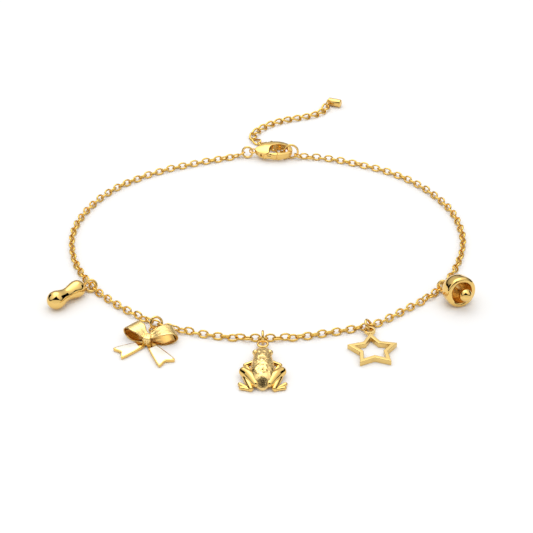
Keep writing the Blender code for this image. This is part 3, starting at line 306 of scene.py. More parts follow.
class Shape:
    """Collects swept, turned and flat forms into one mesh."""

    def __init__(self):
        self.bm = bmesh.new()

    def ring(self, places):
        return [self.bm.verts.new(place) for place in places]

    def bridge(self, near, far):
        """Faces between two rings of as many points, in order."""
        count = len(near)
        faces = []
        for index in range(count):
            following = (index + 1) % count
            faces.append(self.bm.faces.new((near[index], near[following], far[following], far[index])))
        return faces

    def cap(self, ring):
        middle = self.bm.verts.new(sum((vert.co for vert in ring), Vector()) / len(ring))
        for index, vert in enumerate(ring):
            self.bm.faces.new((vert, ring[(index + 1) % len(ring)], middle))

    def loft(self, rings, closed=False):
        """Bridges rings in order and caps both ends, or bridges the last to the first."""
        for near, far in zip(rings, rings[1:]):
            self.bridge(near, far)
        if closed:
            self.bridge(rings[-1], rings[0])
        else:
            self.cap(rings[0])
            self.cap(rings[-1])

    def tube(self, points, radii, sides, up=UP, closed=False):
        """A round section swept along points, with one radius or one for each point."""
        count = len(points)
        if not isinstance(radii, (list, tuple)):
            radii = [radii] * count
        rings = []
        for index, point in enumerate(points):
            before = points[index - 1] if closed or index else point
            after = points[(index + 1) % count] if closed or index < count - 1 else point
            along = (after - before).normalized()
            side = along.cross(up).normalized()
            over = side.cross(along)
            rings.append(self.ring(point + (side * math.cos(turn) + over * math.sin(turn)) * radii[index]
                                   for turn in turns(sides)))
        self.loft(rings, closed)

    def loop(self, centre, normal, diameter, wire, steps=40, sides=14):
        """A round ring of round wire; the diameter is its outside."""
        normal = normal.normalized()
        helper = UP if abs(normal.z) < 0.9 else Vector((0, 1, 0))
        first = helper.cross(normal).normalized()
        second = normal.cross(first)
        radius = (diameter - wire) / 2
        points = [centre + (first * math.cos(turn) + second * math.sin(turn)) * radius
                  for turn in turns(steps)]
        self.tube(points, wire / 2, sides, normal, True)

    def ball(self, centre, diameter, segments, rings):
        made = bmesh.ops.create_uvsphere(self.bm, u_segments=segments, v_segments=rings,
                                         radius=diameter / 2)
        bmesh.ops.translate(self.bm, verts=made["verts"], vec=centre)

    def capsule(self, points, radii):
        """A limb through points with its own radius at each, and rounded ends."""
        start = (points[0] - points[1]).normalized()
        end = (points[-1] - points[-2]).normalized()
        spine = smooth_line(points, steps=6)
        sizes = [max(size.x, THINNEST) for size in smooth_line([(r, 0.0) for r in radii], steps=6)]
        limb = list(zip(spine, sizes))
        for share in (0.26, 0.50, 0.70, 0.86, 0.95, 0.995):
            width = math.sqrt(1.0 - share * share)
            limb.insert(0, (spine[0] + start * sizes[0] * share, sizes[0] * width))
            limb.append((spine[-1] + end * sizes[-1] * share, sizes[-1] * width))
        self.tube(*zip(*limb), 20)

    def turned(self, profile, sides):
        """A closed profile of radius and height turned about Z."""
        rings = []
        for radius, height in profile:
            places = []
            for turn in turns(sides):
                places.append((radius * math.cos(turn), radius * math.sin(turn), height))
            rings.append(self.ring(places))
        self.loft(rings, True)

    def prism(self, outline, low, high, hole):
        """An outline in plan with a hole of as many points."""
        outer = [self.ring((x, y, height) for x, y in outline) for height in (low, high)]
        inner = [self.ring((x, y, height) for x, y in hole) for height in (low, high)]
        self.bridge(*outer)
        self.bridge(*inner)
        self.bridge(outer[0], inner[0])
        self.bridge(outer[1], inner[1])

    def slab(self, outline, low, high, edge, matrix):
        """A plate with softened edges over an outline in plan, drawn anticlockwise."""
        levels = []
        for inset, height in ((edge, low), (0.0, low + edge), (0.0, high - edge),
                              (edge * 0.3, high - edge * 0.3), (edge, high)):
            places = inset_outline(outline, inset) if inset else outline
            levels.append(self.ring(matrix @ Vector((x, y, height)) for x, y in places))
        for near, far in zip(levels, levels[1:]):
            self.bridge(near, far)
        self.bm.faces.new(levels[0])
        self.bm.faces.new(levels[-1])

    def build(self, name, material, smooth_angle=50.0):
        bmesh.ops.recalc_face_normals(self.bm, faces=self.bm.faces)
        mesh = bpy.data.meshes.new(name)
        self.bm.to_mesh(mesh)
        self.bm.free()
        for one in material if isinstance(material, (list, tuple)) else [material]:
            mesh.materials.append(one)
        mesh.shade_smooth()
        mesh.set_sharp_from_angle(angle=math.radians(smooth_angle))
        item = bpy.data.objects.new(name, mesh)
        bpy.context.scene.collection.objects.link(item)
        return item


def seat(item, turn, node):
    """Turns a piece drawn in its own axes and sets its box on that of its CAD node."""
    item.data.transform(turn)
    places = [vertex.co for vertex in item.data.vertices]
    low, high = (Vector(end(place[axis] for place in places) for axis in range(3)) for end in (min, max))
    cad_low, cad_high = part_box(node)
    item.data.transform(Matrix.Translation((cad_low + cad_high) / 2 - (low + high) / 2))


def settle(item, slot, *nodes, matrix=Matrix()):
    """Puts a new piece in its place on the necklace and hides the CAD nodes that it stands for; the slot is
    not used.
    """
    item.data.transform(matrix)
    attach(item, BODY)
    if nodes:
        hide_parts(*nodes)


def main_axes(node):
    """Centre of a CAD node and its axes, the longest first, from its vertices."""
    places = np.array([vertex.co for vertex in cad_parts[node].data.vertices], float)
    centre = places.mean(0)
    axes = np.linalg.svd(places - centre, full_matrices=False)[2]
    return places, centre, axes


def noise_node(nodes, links, coords, scale, detail):
    texture = nodes.new("ShaderNodeTexNoise")
    texture.inputs["Scale"].default_value = scale
    texture.inputs["Detail"].default_value = detail
    links.new(coords.outputs["Object"], texture.inputs["Vector"])
    return texture


def make_finish(name, light, dark, roughness, spread, metallic=1.0, grain=0.0, relief=0.0, coat=0.0):
    """A finish whose tone, gloss and fine relief drift a little over the surface."""
    material = bpy.data.materials.new(name)
    material.use_nodes = True
    nodes = material.node_tree.nodes
    links = material.node_tree.links
    shader = nodes["Principled BSDF"]
    shader.inputs["Metallic"].default_value = metallic
    shader.inputs["Coat Weight"].default_value = coat
    shader.inputs["Coat Roughness"].default_value = 0.05
    coords = nodes.new("ShaderNodeTexCoord")

    drift = noise_node(nodes, links, coords, DRIFT_SCALE, 3.0)
    tone = nodes.new("ShaderNodeMix")
    tone.data_type = "RGBA"
    tone.inputs["A"].default_value = (*dark, 1.0)
    tone.inputs["B"].default_value = (*light, 1.0)
    links.new(drift.outputs["Fac"], tone.inputs["Factor"])
    links.new(tone.outputs["Result"], shader.inputs["Base Color"])

    gloss = nodes.new("ShaderNodeMapRange")
    gloss.inputs["To Min"].default_value = roughness - spread
    gloss.inputs["To Max"].default_value = roughness + spread
    links.new(drift.outputs["Fac"], gloss.inputs["Value"])
    links.new(gloss.outputs["Result"], shader.inputs["Roughness"])

    if relief:
        fine = noise_node(nodes, links, coords, grain, 4.0)
        bump = nodes.new("ShaderNodeBump")
        bump.inputs["Strength"].default_value = RELIEF_STRENGTH
        bump.inputs["Distance"].default_value = relief
        links.new(fine.outputs["Fac"], bump.inputs["Height"])
        links.new(bump.outputs["Normal"], shader.inputs["Normal"])
    return material


def add_dome(material, centre, bend_x, bend_y):
    """Bends a flat face's shading as if it were domed about a centre in plan; bends are per metre."""
    nodes = material.node_tree.nodes
    links = material.node_tree.links
    coords = nodes.new("ShaderNodeTexCoord")
    away = nodes.new("ShaderNodeVectorMath")
    away.operation = "SUBTRACT"
    away.inputs[1].default_value = (centre.x, centre.y, 0.0)
    square = nodes.new("ShaderNodeVectorMath")
    square.operation = "MULTIPLY"
    total = nodes.new("ShaderNodeVectorMath")
    total.operation = "DOT_PRODUCT"
    total.inputs[1].default_value = (-bend_x / 2, -bend_y / 2, 0.0)
    bump = nodes.new("ShaderNodeBump")
    bump.inputs["Strength"].default_value = 1.0
    bump.inputs["Distance"].default_value = 1.0
    links.new(coords.outputs["Object"], away.inputs[0])
    links.new(away.outputs["Vector"], square.inputs[0])
    links.new(away.outputs["Vector"], square.inputs[1])
    links.new(square.outputs["Vector"], total.inputs[0])
    links.new(total.outputs["Value"], bump.inputs["Height"])
    links.new(bump.outputs["Normal"], nodes["Principled BSDF"].inputs["Normal"])
    return material


def make_finishes():
    clasp_low, clasp_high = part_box("clasp_body")
    polish = ((0.88, 0.60, 0.20), (0.83, 0.54, 0.16))
    return {
        "polished": make_finish("gold_polished", *polish, 0.05, 0.012, grain=500.0, relief=0.003 * MM),
        "domed": add_dome(make_finish("gold_domed", *polish, 0.09, 0.02),
                          (clasp_low + clasp_high) / 2, *CLASP_DOME),
        "chain": make_finish("gold_chain", (0.85, 0.56, 0.15), (0.77, 0.48, 0.10), 0.07, 0.02,
                             grain=700.0, relief=0.003 * MM),
        "inside": make_finish("gold_inside", (0.88, 0.60, 0.24), (0.82, 0.54, 0.19), 0.26, 0.03),
        # Darker gold for the bow loops' insides: painted shade where the loops hollow over
        "painted_shade_inner": make_finish("gold_painted_shade_inner", (0.70, 0.43, 0.13), (0.58, 0.33, 0.08), 0.16, 0.03),
        "satin": make_finish("gold_satin", (0.95, 0.70, 0.30), (0.84, 0.58, 0.21), 0.24, 0.06,
                             grain=1500.0, relief=0.17 * MM),
        "mellow": make_finish("gold_mellow", (0.82, 0.59, 0.23), (0.77, 0.53, 0.18), 0.06, 0.012),
        "enamel": make_finish("enamel_ivory", (0.96, 0.95, 0.86), (0.95, 0.93, 0.83), 0.16, 0.02,
                              metallic=0.0, grain=400.0, relief=0.003 * MM, coat=0.5),
    }


class Route:
    """The chain's line on the table, read by its length."""

    def __init__(self):
        dx, dy = ROUTE_ORIGIN
        curve = smooth_line([((x + dx) * MM, (y + dy) * MM, ROUTE_HEIGHT) for x, y in CHAIN_ROUTE])
        self.points = curve
        self.lengths = [0.0]
        for before, after in zip(curve, curve[1:]):
            self.lengths.append(self.lengths[-1] + (after - before).length)
        self.total = self.lengths[-1]

    def at(self, length):
        length = min(max(length, 0.0), self.total)
        index = 1
        while self.lengths[index] < length and index < len(self.lengths) - 1:
            index += 1
        before = self.lengths[index - 1]
        share = (length - before) / (self.lengths[index] - before)
        return self.points[index - 1].lerp(self.points[index], share)

    def heading(self, length):
        step = 0.2 * MM
        return (self.at(length + step) - self.at(length - step)).normalized()


def ring_facts(node):
    """Centre, normal, outside diameter and wire of a round CAD ring."""
    places, centre, axes = main_axes(node)
    offsets = places - centre
    rise = offsets @ axes[2]
    flat = np.linalg.norm(offsets - np.outer(rise, axes[2]), axis=1)
    return Vector(centre), Vector(axes[2]), 2 * float(flat.max()), 2 * float(abs(rise).max())


class Hold:
    """A place on a CAD ring, counted in degrees from its side, and how the wire runs there."""

    def __init__(self, node, degrees):
        centre, normal, diameter, wire = ring_facts(node)
        standing = abs(normal.z) < 0.05
        if (normal.x if standing else normal.z) < 0:
            normal = -normal
        across = UP.cross(normal).normalized()
        rise = normal.cross(across)
        turn = math.radians(degrees)
        radius = (diameter - wire) / 2
        self.place = centre + (across * math.cos(turn) + rise * math.sin(turn)) * radius
        self.wire = rise * math.cos(turn) - across * math.sin(turn)

    def on_table(self, turn):
        """The axes of a charm that lies on the table under this place."""
        where = Vector((self.place.x, self.place.y, GROUND))
        return Matrix.Translation(where) @ Matrix.Rotation(math.radians(turn), 4, "Z")


def wire_at(node, place):
    """Which way a ring's wire runs where it passes nearest to a place."""
    centre, normal, _, _ = ring_facts(node)
    return normal.cross(place - centre).normalized()


class Link:
    """One oval link: its middle, where it heads and its two other axes."""

    def __init__(self, centre, heading):
        self.centre = centre
        self.heading = heading
        self.side = UP.cross(heading).normalized()
        self.lift = heading.cross(self.side)

    def roll_to(self, wire):
        """The roll at which a ring's wire goes straight through the link."""
        return math.degrees(math.atan2(wire.dot(self.lift), wire.dot(self.side)))

    def draw(self, shape, roll):
        turn = math.radians(roll)
        normal = self.side * math.cos(turn) + self.lift * math.sin(turn)
        across = normal.cross(self.heading)
        along = (LINK_LENGTH - LINK_WIRE) / 2
        aside = (LINK_WIDTH - LINK_WIRE) / 2
        points = []
        for angle in turns(LINK_STEPS):
            reach = self.heading * signed_power(math.cos(angle), 0.9) * along
            points.append(self.centre + reach + across * math.sin(angle) * aside)
        shape.tube(points, LINK_WIRE / 2, LINK_SIDES, normal, True)


def end_link(route, station, outward):
    """The first or last link, pitched up to meet its ring."""
    heading = route.heading(station)
    joint = route.at(station) - heading * outward * LINK_REACH
    pitch = math.radians(END_PITCH)
    rising = heading * math.cos(pitch) * outward + UP * math.sin(pitch)
    return Link(joint + rising * LINK_REACH, rising)


def build_chain(gold):
    """Every oval link of the chain, each through the next and turned a quarter from it."""
    route = Route()
    steps = round(route.total / LINK_PITCH)
    pitch = route.total / steps
    links = [Link(route.at(pitch * index), route.heading(pitch * index)) for index in range(steps + 1)]
    links[0] = end_link(route, 0.0, -1)
    links[-1] = end_link(route, route.total, 1)
    held = {0: "ring_clasp", steps: "ring_catch"}
    for node, share in STATIONS.items():
        held[round(share * route.total / pitch)] = node

    spare = {}
    for index, node in held.items():
        link = links[index]
        phase = link.roll_to(wire_at(node, link.centre)) - 90.0 * index - REST_ROLL
        spare[index] = (phase + 90.0) % 180.0 - 90.0
    chance = random.Random(7)
    shape = Shape()
    for index, link in enumerate(links):
        phase = REST_ROLL
        for holder, extra in spare.items():
            near = max(0.0, 1.0 - abs(index - holder) / ROLL_RELAX)
            phase += extra * near * near * (3.0 - 2.0 * near)
        if index not in held:
            phase += chance.uniform(-ROLL_JITTER, ROLL_JITTER)
        roll = phase + 90.0 * index
        if index not in held:
            rest = (LINK_WIDTH - LINK_WIRE) / 2 * abs(math.cos(math.radians(roll))) + LINK_WIRE / 2
            link.centre.z = max(LINK_HEIGHT, rest + LINK_GAP)
        link.draw(shape, roll)
    settle(shape.build("chain_links", gold), "yellow_gold", "chain")


def build_rings(gold):
    for node in ["ring_clasp", "ring_catch"] + list(STATIONS):
        centre, normal, diameter, wire = ring_facts(node)
        shape = Shape()
        shape.loop(centre, normal, diameter, wire * RING_FULLNESS, 56, 16)
        settle(shape.build(node.replace("ring", "jump_ring"), gold), "yellow_gold", node)


def build_extender(gold):
    """Round-wired twins of the twisted links."""
    shape = Shape()
    nodes = sorted(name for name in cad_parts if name.startswith("extender_link"))
    for node in nodes:
        _, centre, axes = main_axes(node)
        heading = Vector(axes[0])
        up = Vector(axes[2]) * math.copysign(1.0, axes[2][2])
        across = up.cross(heading)
        points = []
        for turn in turns(CURB_STEPS):
            along = math.cos(turn)
            aside = math.sin(turn)
            points.append(Vector(centre) + heading * along * (CURB_LENGTH - CURB_WIRE) / 2
                          + across * aside * (CURB_WIDTH - CURB_WIRE) / 2
                          + up * along * aside * CURB_RISE * 2)
        shape.tube(points, CURB_WIRE / 2, 12, UP, True)
    settle(shape.build("extender_links", gold), "yellow_gold", *nodes)


def turn_into(matrix, direction):
    """A direction of the row frame in a charm's own axes."""
    return (matrix.to_3x3().inverted() @ direction).normalized()


def build_end_drop(gold):
    """A barrel with rounded ends and a soldered loop."""
    heading = Vector(main_axes("extender_link_01")[2][0])
    turn = Matrix.Rotation(math.radians(DROP_TURN), 4, "Z")
    beside = turn_into(turn, UP.cross(heading))
    radius = DROP_DIAMETER / 2
    centre = Vector((0, 0, DROP_LOOP_DIAMETER / 2))
    shape = Shape()
    shape.loop(centre, beside, DROP_LOOP_DIAMETER, DROP_LOOP_WIRE)
    start = Vector((-0.4 * MM, DROP_LOOP_DIAMETER / 2 + radius * 0.35, radius))
    corner = 0.5 * MM
    points = []
    radii = []
    for side, base in ((-1, corner), (1, DROP_LENGTH - corner)):
        for index in range(6):
            angle = math.radians(90 - 16.0 * index) if side < 0 else math.radians(10 + 16.0 * index)
            points.append(start + Vector((base + side * corner * math.sin(angle), 0, 0)))
            radii.append(radius - corner + corner * math.cos(angle))
    shape.tube(points, radii, 48)
    drop = shape.build("drop_barrel", gold)
    seat(drop, turn, "end_drop")
    settle(drop, "yellow_gold", "end_drop")


def build_peanut(gold):
    """Two round lobes with a waist, lying on the table, and a small loop at one end."""
    hold = Hold("ring_peanut", PEANUT_HOLD)
    matrix = hold.on_table(PEANUT_TURN)
    height = hold.place.z - GROUND
    loop = EYELET_DIAMETER * 0.85
    set_back = PEANUT_TOP_LOBE - math.sqrt(PEANUT_TOP_LOBE ** 2 - (PEANUT_TOP_LOBE - height) ** 2)
    head = set_back - (loop - EYELET_WIRE) / 2 - EYELET_SLACK / 2
    spacing = PEANUT_LENGTH - PEANUT_LOBE - PEANUT_TOP_LOBE
    slope = (PEANUT_LOBE - PEANUT_TOP_LOBE) / spacing
    points = []
    radii = []
    for degrees in range(2, 90, 6):
        turn = math.radians(degrees)
        points.append(Vector((0, head - PEANUT_TOP_LOBE * (1.0 - math.cos(turn)), 0)))
        radii.append(PEANUT_TOP_LOBE * math.sin(turn))
    for index in range(1, 28):
        share = index / 28
        blend = (1.0 - math.cos(2.0 * math.pi * share)) / 2
        plain = PEANUT_TOP_LOBE + (PEANUT_LOBE - PEANUT_TOP_LOBE) * share
        points.append(Vector((0, head - PEANUT_TOP_LOBE - spacing * share, 0)))
        radii.append(plain + (PEANUT_WAIST - plain) * blend)
    for degrees in range(88, 0, -6):
        turn = math.radians(degrees)
        points.append(Vector((0, head - PEANUT_TOP_LOBE - spacing - PEANUT_LOBE * math.cos(turn), 0)))
        radii.append(PEANUT_LOBE * math.sin(turn))
    for point in points:
        point.z = PEANUT_TOP_LOBE + (head - PEANUT_TOP_LOBE - point.y) * slope + REST
    shape = Shape()
    shape.tube(points, radii, 64)
    shape.loop(Vector((0, -EYELET_SLACK / 2, height)), turn_into(matrix, hold.wire), loop, EYELET_WIRE)
    settle(shape.build("peanut_gold", gold), "yellow_gold", "peanut", matrix=matrix)


def star_outline(radius, waist, centre_y):
    """Five points and the five corners between them, in plan."""
    points = []
    for index in range(10):
        turn = math.pi / 2 + math.pi * index / 5
        size = waist if index % 2 else radius
        points.append((math.cos(turn) * size, centre_y + math.sin(turn) * size))
    return points


def soften(item, width):
    """Rounds a piece's edges."""
    step = item.modifiers.new("Bevel", "BEVEL")
    step.width = width
    step.segments = 3
    step.limit_method = "ANGLE"
    step.angle_limit = math.radians(30.0)
    step.harden_normals = True


def build_star(gold):
    """An open frame with softened edges, and its eyelet."""
    hold = Hold("ring_star", STAR_HOLD)
    matrix = hold.on_table(STAR_TURN)
    eyelet_y = -EYELET_SLACK / 2
    centre_y = eyelet_y - STAR_RADIUS - WIDE_EYELET_DIAMETER / 2 + EYELET_WIRE * 0.7
    edge = Vector((0.0, STAR_RADIUS))
    corner = Vector((math.cos(math.radians(126)), math.sin(math.radians(126)))) * STAR_WAIST
    side = (corner - edge).normalized()
    distance = abs(edge.x * side.y - edge.y * side.x)
    share = 1.0 - STAR_WALL / distance
    shape = Shape()
    shape.prism(star_outline(STAR_RADIUS, STAR_WAIST, centre_y), 0.0, STAR_THICKNESS,
                star_outline(STAR_RADIUS * share, STAR_WAIST * share, centre_y))
    frame_piece = shape.build("star_frame", gold, 20.0)
    soften(frame_piece, STAR_EDGE)
    height = hold.place.z - GROUND
    half = EYELET_WIRE * 0.8
    outer = WIDE_EYELET_DIAMETER / 2 * 1.06
    inner = outer - EYELET_WIRE * 1.2
    rings = []
    for radius in (outer, inner):
        rings.append([(radius * math.cos(turn), eyelet_y + radius * math.sin(turn)) for turn in turns(48)])
    shape = Shape()
    shape.prism(rings[0], height - half, height + half, rings[1])
    eyelet = shape.build("star_eyelet", gold, 40.0)
    soften(eyelet, EYELET_EDGE)
    settle(frame_piece, "satin_gold", "star", matrix=matrix)
    settle(eyelet, "satin_gold", matrix=matrix)


def bell_profile(crown):
    """Radius and height down the outside and over the lip, then up the inside."""
    lip = BELL_RADIUS
    tall = BELL_HEIGHT
    mouth = BELL_MOUTH
    outer = [(BELL_BORE, 0.0), (lip * 0.20, 0.0), (lip * 0.45, 0.03 * tall), (lip * 0.66, 0.10 * tall),
             (lip * 0.82, 0.21 * tall), (lip * 0.92, 0.35 * tall), (lip * 0.97, 0.50 * tall),
             (lip * 0.99, 0.65 * tall), (lip, 0.79 * tall), (lip * 0.99, 0.89 * tall),
             (lip * 0.95, 0.955 * tall), (lip * 0.88, 0.99 * tall), (lip * 0.80, tall)]
    inner = [(mouth * 1.12, 0.995 * tall), (mouth * 1.03, 0.97 * tall), (mouth * 0.99, 0.92 * tall),
             (mouth * 0.985, 0.78 * tall), (mouth * 0.96, 0.60 * tall), (lip * 0.62, 0.42 * tall),
             (lip * 0.48, 0.27 * tall), (lip * 0.28, 0.15 * tall), (BELL_BORE, BELL_WALL)]
    curves = []
    for part in (outer + inner[:3], inner[2:]):
        curve = smooth_line([(r, -h) for r, h in part], steps=5)
        curves.append([(max(point.x, BELL_BORE), crown + point.y) for point in curve])
    return curves


def build_bell(gold, inside):
    """A turned bell with a thick lip; its clapper is one piece with the crown loop."""
    hold = Hold("ring_bell", BELL_HOLD)
    loop_radius = (EYELET_DIAMETER - EYELET_WIRE) / 2
    crown = -(loop_radius + BELL_SHANK)
    rest = BELL_RADIUS + REST - (hold.place.z - GROUND)
    lift = math.asin(rest / (BELL_HEIGHT * 0.95 - crown))
    plan = Vector(BELL_HEADING).normalized() * math.cos(lift)
    heading = Vector((plan.x, plan.y, math.sin(lift)))
    turn = heading.to_track_quat("-Z", "Y").to_matrix().to_4x4()
    matrix = Matrix.Translation(hold.place) @ turn

    outer, inner = bell_profile(crown)
    shape = Shape()
    shape.turned(outer + inner[1:], 112)
    for face in shape.bm.faces:
        if all(vert.co.z > outer[-1][1] - 0.001 * MM for vert in face.verts):
            middle = face.calc_center_median()
            if math.hypot(middle.x, middle.y) < BELL_MOUTH * 0.995:
                face.material_index = 1
    bell = shape.build("bell_gold", [gold, inside], 60.0)
    settle(bell, "yellow_gold", "bell", matrix=matrix)

    wire = turn_into(matrix, hold.wire)
    wire.z = 0.0
    aside = turn_into(matrix, Vector((0.55, 0, 0.83)))
    aside.z = 0.0
    aside = aside.normalized() * CLAPPER_LEAN
    end = crown - BELL_HEIGHT - CLAPPER_DROP
    shape = Shape()
    shape.loop(Vector((0, 0, -EYELET_SLACK)), wire, EYELET_DIAMETER, EYELET_WIRE)
    stem = [Vector((0, 0, -EYELET_SLACK - loop_radius)), Vector((0, 0, crown - 2.2 * BELL_WALL)),
            Vector((aside.x, aside.y, end))]
    shape.tube(stem, CLAPPER_WIRE / 2, 16, Vector((0, 1, 0)))
    shape.ball(stem[-1], CLAPPER_BALL, 56, 32)
    settle(shape.build("clapper_gold", gold), "yellow_gold", "bell_clapper", matrix=matrix)


def ribbon_loop(side, reach, upward, knot_y, outside, inside):
    """One ribbon loop with gathers at the knot, satin outside, and inside a polished gold painted darker as
    shade.
    """
    start = KNOT_WIDTH / 2 - LOOP_START
    low = LOOP_GAP + RIBBON_THICKNESS / 2
    spine = smooth_line([(start + (reach - start) * x, low + LOOP_RISE * z)
                         for x, z in RIBBON_SPINE], steps=6)
    raise_turn = math.radians(upward)
    out = Vector((math.cos(raise_turn) * side, math.sin(raise_turn), 0))
    across = Vector((-math.sin(raise_turn) * side, math.cos(raise_turn), 0))
    base = Vector((0, knot_y, 0))
    columns = 18
    shape = Shape()
    rows = []
    for index, point in enumerate(spine):
        before = spine[max(index - 1, 0)]
        after = spine[min(index + 1, len(spine) - 1)]
        along = (after - before).normalized()
        away = Vector((-along.y, along.x))
        spread = min(1.0, (point.x - start) / (0.55 * (reach - start)))
        spread = spread * spread * (3.0 - 2.0 * spread)
        narrow = KNOT_LENGTH * 0.36
        half = narrow + (RIBBON_WIDTH / 2 - narrow) * spread
        gather = GATHER_DEPTH * (1.0 - spread) ** 1.5
        row = []
        for face in (1, -1):
            for column in range(columns + 1):
                share = column / columns
                if face < 0:
                    share = 1.0 - share
                edge = (share * 2.0 - 1.0)
                fold = gather * math.cos(edge * math.pi * 2.5 + 0.6)
                rounding = 1.0 - 0.55 * max(0.0, abs(edge) - 0.93) / 0.07
                place = point + away * (fold + face * RIBBON_THICKNESS / 2 * rounding)
                row.append(base + out * place.x + across * edge * half + Vector((0, 0, place.y)))
        rows.append(shape.ring(row))
    for near, far in zip(rows, rows[1:]):
        # The ribbon's inner face takes the second finish, a darker gold that is painted shade
        for index, face in enumerate(shape.bridge(near, far)):
            face.material_index = 1 if index > columns else 0
    shape.cap(rows[0])
    shape.cap(rows[-1])
    label = "left" if side < 0 else "right"
    return shape.build(f"bow_loop_{label}", [outside, inside], 70.0)


def tail_outline(length, start):
    """A ribbon tail in plan along -Y from the knot: flared, with a notch between its two tips."""
    narrow = KNOT_WIDTH * 0.28
    wide = TAIL_WIDTH / 2

    def half(y):
        return narrow + (wide - narrow) * (1.0 - (1.0 + y / length) ** 1.4)

    right = [(wide, -length)]
    steps = 4
    for index in range(1, steps + 1):
        y = -length + (length - start) * index / steps
        right.append((half(y), y))
    left = [(-x, y) for x, y in reversed(right)]
    return left + [(0.0, -length + TAIL_NOTCH)] + right


def inset_outline(outline, distance):
    """The outline moved inwards by the same distance all round."""
    points = [Vector(point) for point in outline]
    count = len(points)
    moved = []
    for index, point in enumerate(points):
        one = (point - points[index - 1]).normalized()
        two = (points[(index + 1) % count] - point).normalized()
        normal = Vector((-one.y, one.x)) + Vector((-two.y, two.x))
        moved.append(point + normal * (2 * distance / normal.length_squared))
    return moved


def round_tips(outline, tip, notch):
    """Arcs in place of a tail's two tips and the notch between them."""
    middle = len(outline) // 2
    radii = {middle - 1: tip, middle: notch, middle + 1: tip}
    points = []
    for index, corner in enumerate(outline):
        corner = Vector(corner)
        radius = radii.get(index)
        if radius is None:
            points.append(tuple(corner))
            continue
        before = (Vector(outline[index - 1]) - corner).normalized() * radius
        after = (Vector(outline[index + 1]) - corner).normalized() * radius
        for step in range(6):
            share = step / 5
            points.append(tuple(corner + before * (1.0 - share) ** 2 + after * share ** 2))
    return points


def bow_knot(knot_y, satin):
    """The band round the middle, a bulging box with two folds."""
    shape = Shape()
    rings = []
    steps = 28
    for index in range(steps + 1):
        across = -1.0 + 2.0 * index / steps
        size = (1.0 - abs(across) ** 5) ** 0.2 if abs(across) < 1.0 else 0.0
        size = max(size, 0.30) * (1.0 - 0.05 * across * across)
        for place, width, depth in KNOT_FOLDS:
            size -= depth * math.exp(-((across - place) / width) ** 2)
        ring = []
        for turn in turns(48):
            one = signed_power(math.cos(turn), KNOT_SQUARENESS)
            two = signed_power(math.sin(turn), KNOT_SQUARENESS)
            ring.append((across * KNOT_WIDTH / 2, knot_y + one * KNOT_LENGTH / 2 * size,
                         KNOT_GAP + KNOT_HEIGHT / 2 * (1.0 + two * size)))
        rings.append(shape.ring(ring))
    shape.loft(rings)
    return shape.build("bow_knot", satin, 60.0)


def build_bow(finishes):
    """Knot, two ribbon loops, notched tails with enamel, neck and eyelet."""
    hold = Hold("ring_bow", BOW_HOLD)
    matrix = hold.on_table(BOW_TURN)
    height = hold.place.z - GROUND
    knot_y = -BOW_NECK
    satin = finishes["satin"]
    settle(bow_knot(knot_y, satin), "satin_gold", "bow", matrix=matrix)
    for side, reach, upward in ((-1, BOW_LEFT_REACH, BOW_LEFT_RAISE), (1, BOW_RIGHT_REACH, BOW_RIGHT_RAISE)):
        loop = ribbon_loop(side, reach, upward, knot_y, satin, finishes["painted_shade_inner"])
        settle(loop, "satin_gold", matrix=matrix)

    eye_radius = (EYELET_DIAMETER - EYELET_WIRE) / 2
    centre = Vector((0, -EYELET_SLACK, height + 0.1 * MM))
    wire = turn_into(matrix, hold.wire)
    facing = (wire * math.copysign(0.7, wire.z) + UP).normalized()
    shape = Shape()
    shape.loop(centre, facing, EYELET_DIAMETER, EYELET_WIRE)
    shape.tube([Vector((0, centre.y - eye_radius, centre.z)), Vector((0, knot_y, centre.z))],
               EYELET_WIRE / 2, 16)
    settle(shape.build("bow_eyelet", finishes["polished"]), "satin_gold", matrix=matrix)

    for label, spread, length in (("left", -LEFT_SPREAD, LEFT_TAIL), ("right", RIGHT_SPREAD, RIGHT_TAIL)):
        turn = Matrix.Translation((0, knot_y, 0)) @ Matrix.Rotation(math.radians(spread), 4, "Z")
        shape = Shape()
        whole = round_tips(tail_outline(length, TAIL_START), TAIL_TIP, TAIL_TIP * 0.6)
        top = REST + TAIL_THICKNESS
        shape.slab(whole, REST, top, TAIL_EDGE, turn)
        settle(shape.build(f"bow_tail_{label}", finishes["polished"], 60.0), "satin_gold", matrix=matrix)
        shape = Shape()
        field = inset_outline(tail_outline(length, ENAMEL_START), TAIL_RIM)
        field = round_tips(field, TAIL_TIP * 0.8, TAIL_TIP * 0.5)
        shape.slab(field, top - ENAMEL_DEPTH, top + ENAMEL_RISE, ENAMEL_EDGE, turn)
        inlay = shape.build(f"enamel_field_{label}", finishes["enamel"], 60.0)
        settle(inlay, "ivory_enamel", f"enamel_{label}", matrix=matrix)


class BackRelief:
    """Raised pebbles, a ring behind the head and a dimple before the rump."""

    def __init__(self):
        chance = random.Random(21)
        self.pebbles = []
        for count, start, end, spread, small, large, low, high in PEBBLES:
            for _ in range(count):
                along = chance.uniform(start, end)
                across = chance.gauss(0.0, spread)
                size = chance.uniform(small, large) * MM
                self.pebbles.append((across * FROG_BODY_WIDTH / 2, along * FROG_LENGTH, size,
                                     chance.uniform(low, high) * MM))

    def at(self, across, along):
        rise = 0.0
        for x, y, size, high in self.pebbles:
            far = math.hypot(across - x, along - y) / size
            if far < 2.2:
                rise += high * math.exp(-far * far)
        place, radius, width, high = COLLAR
        ring = math.hypot(across, along - place * FROG_LENGTH)
        rise += high * math.exp(-((ring - radius) / width) ** 2)
        place, width, deep = DIMPLE
        pit = math.hypot(across, along - place * FROG_LENGTH) / width
        rise -= deep * math.exp(-pit * pit)
        return rise


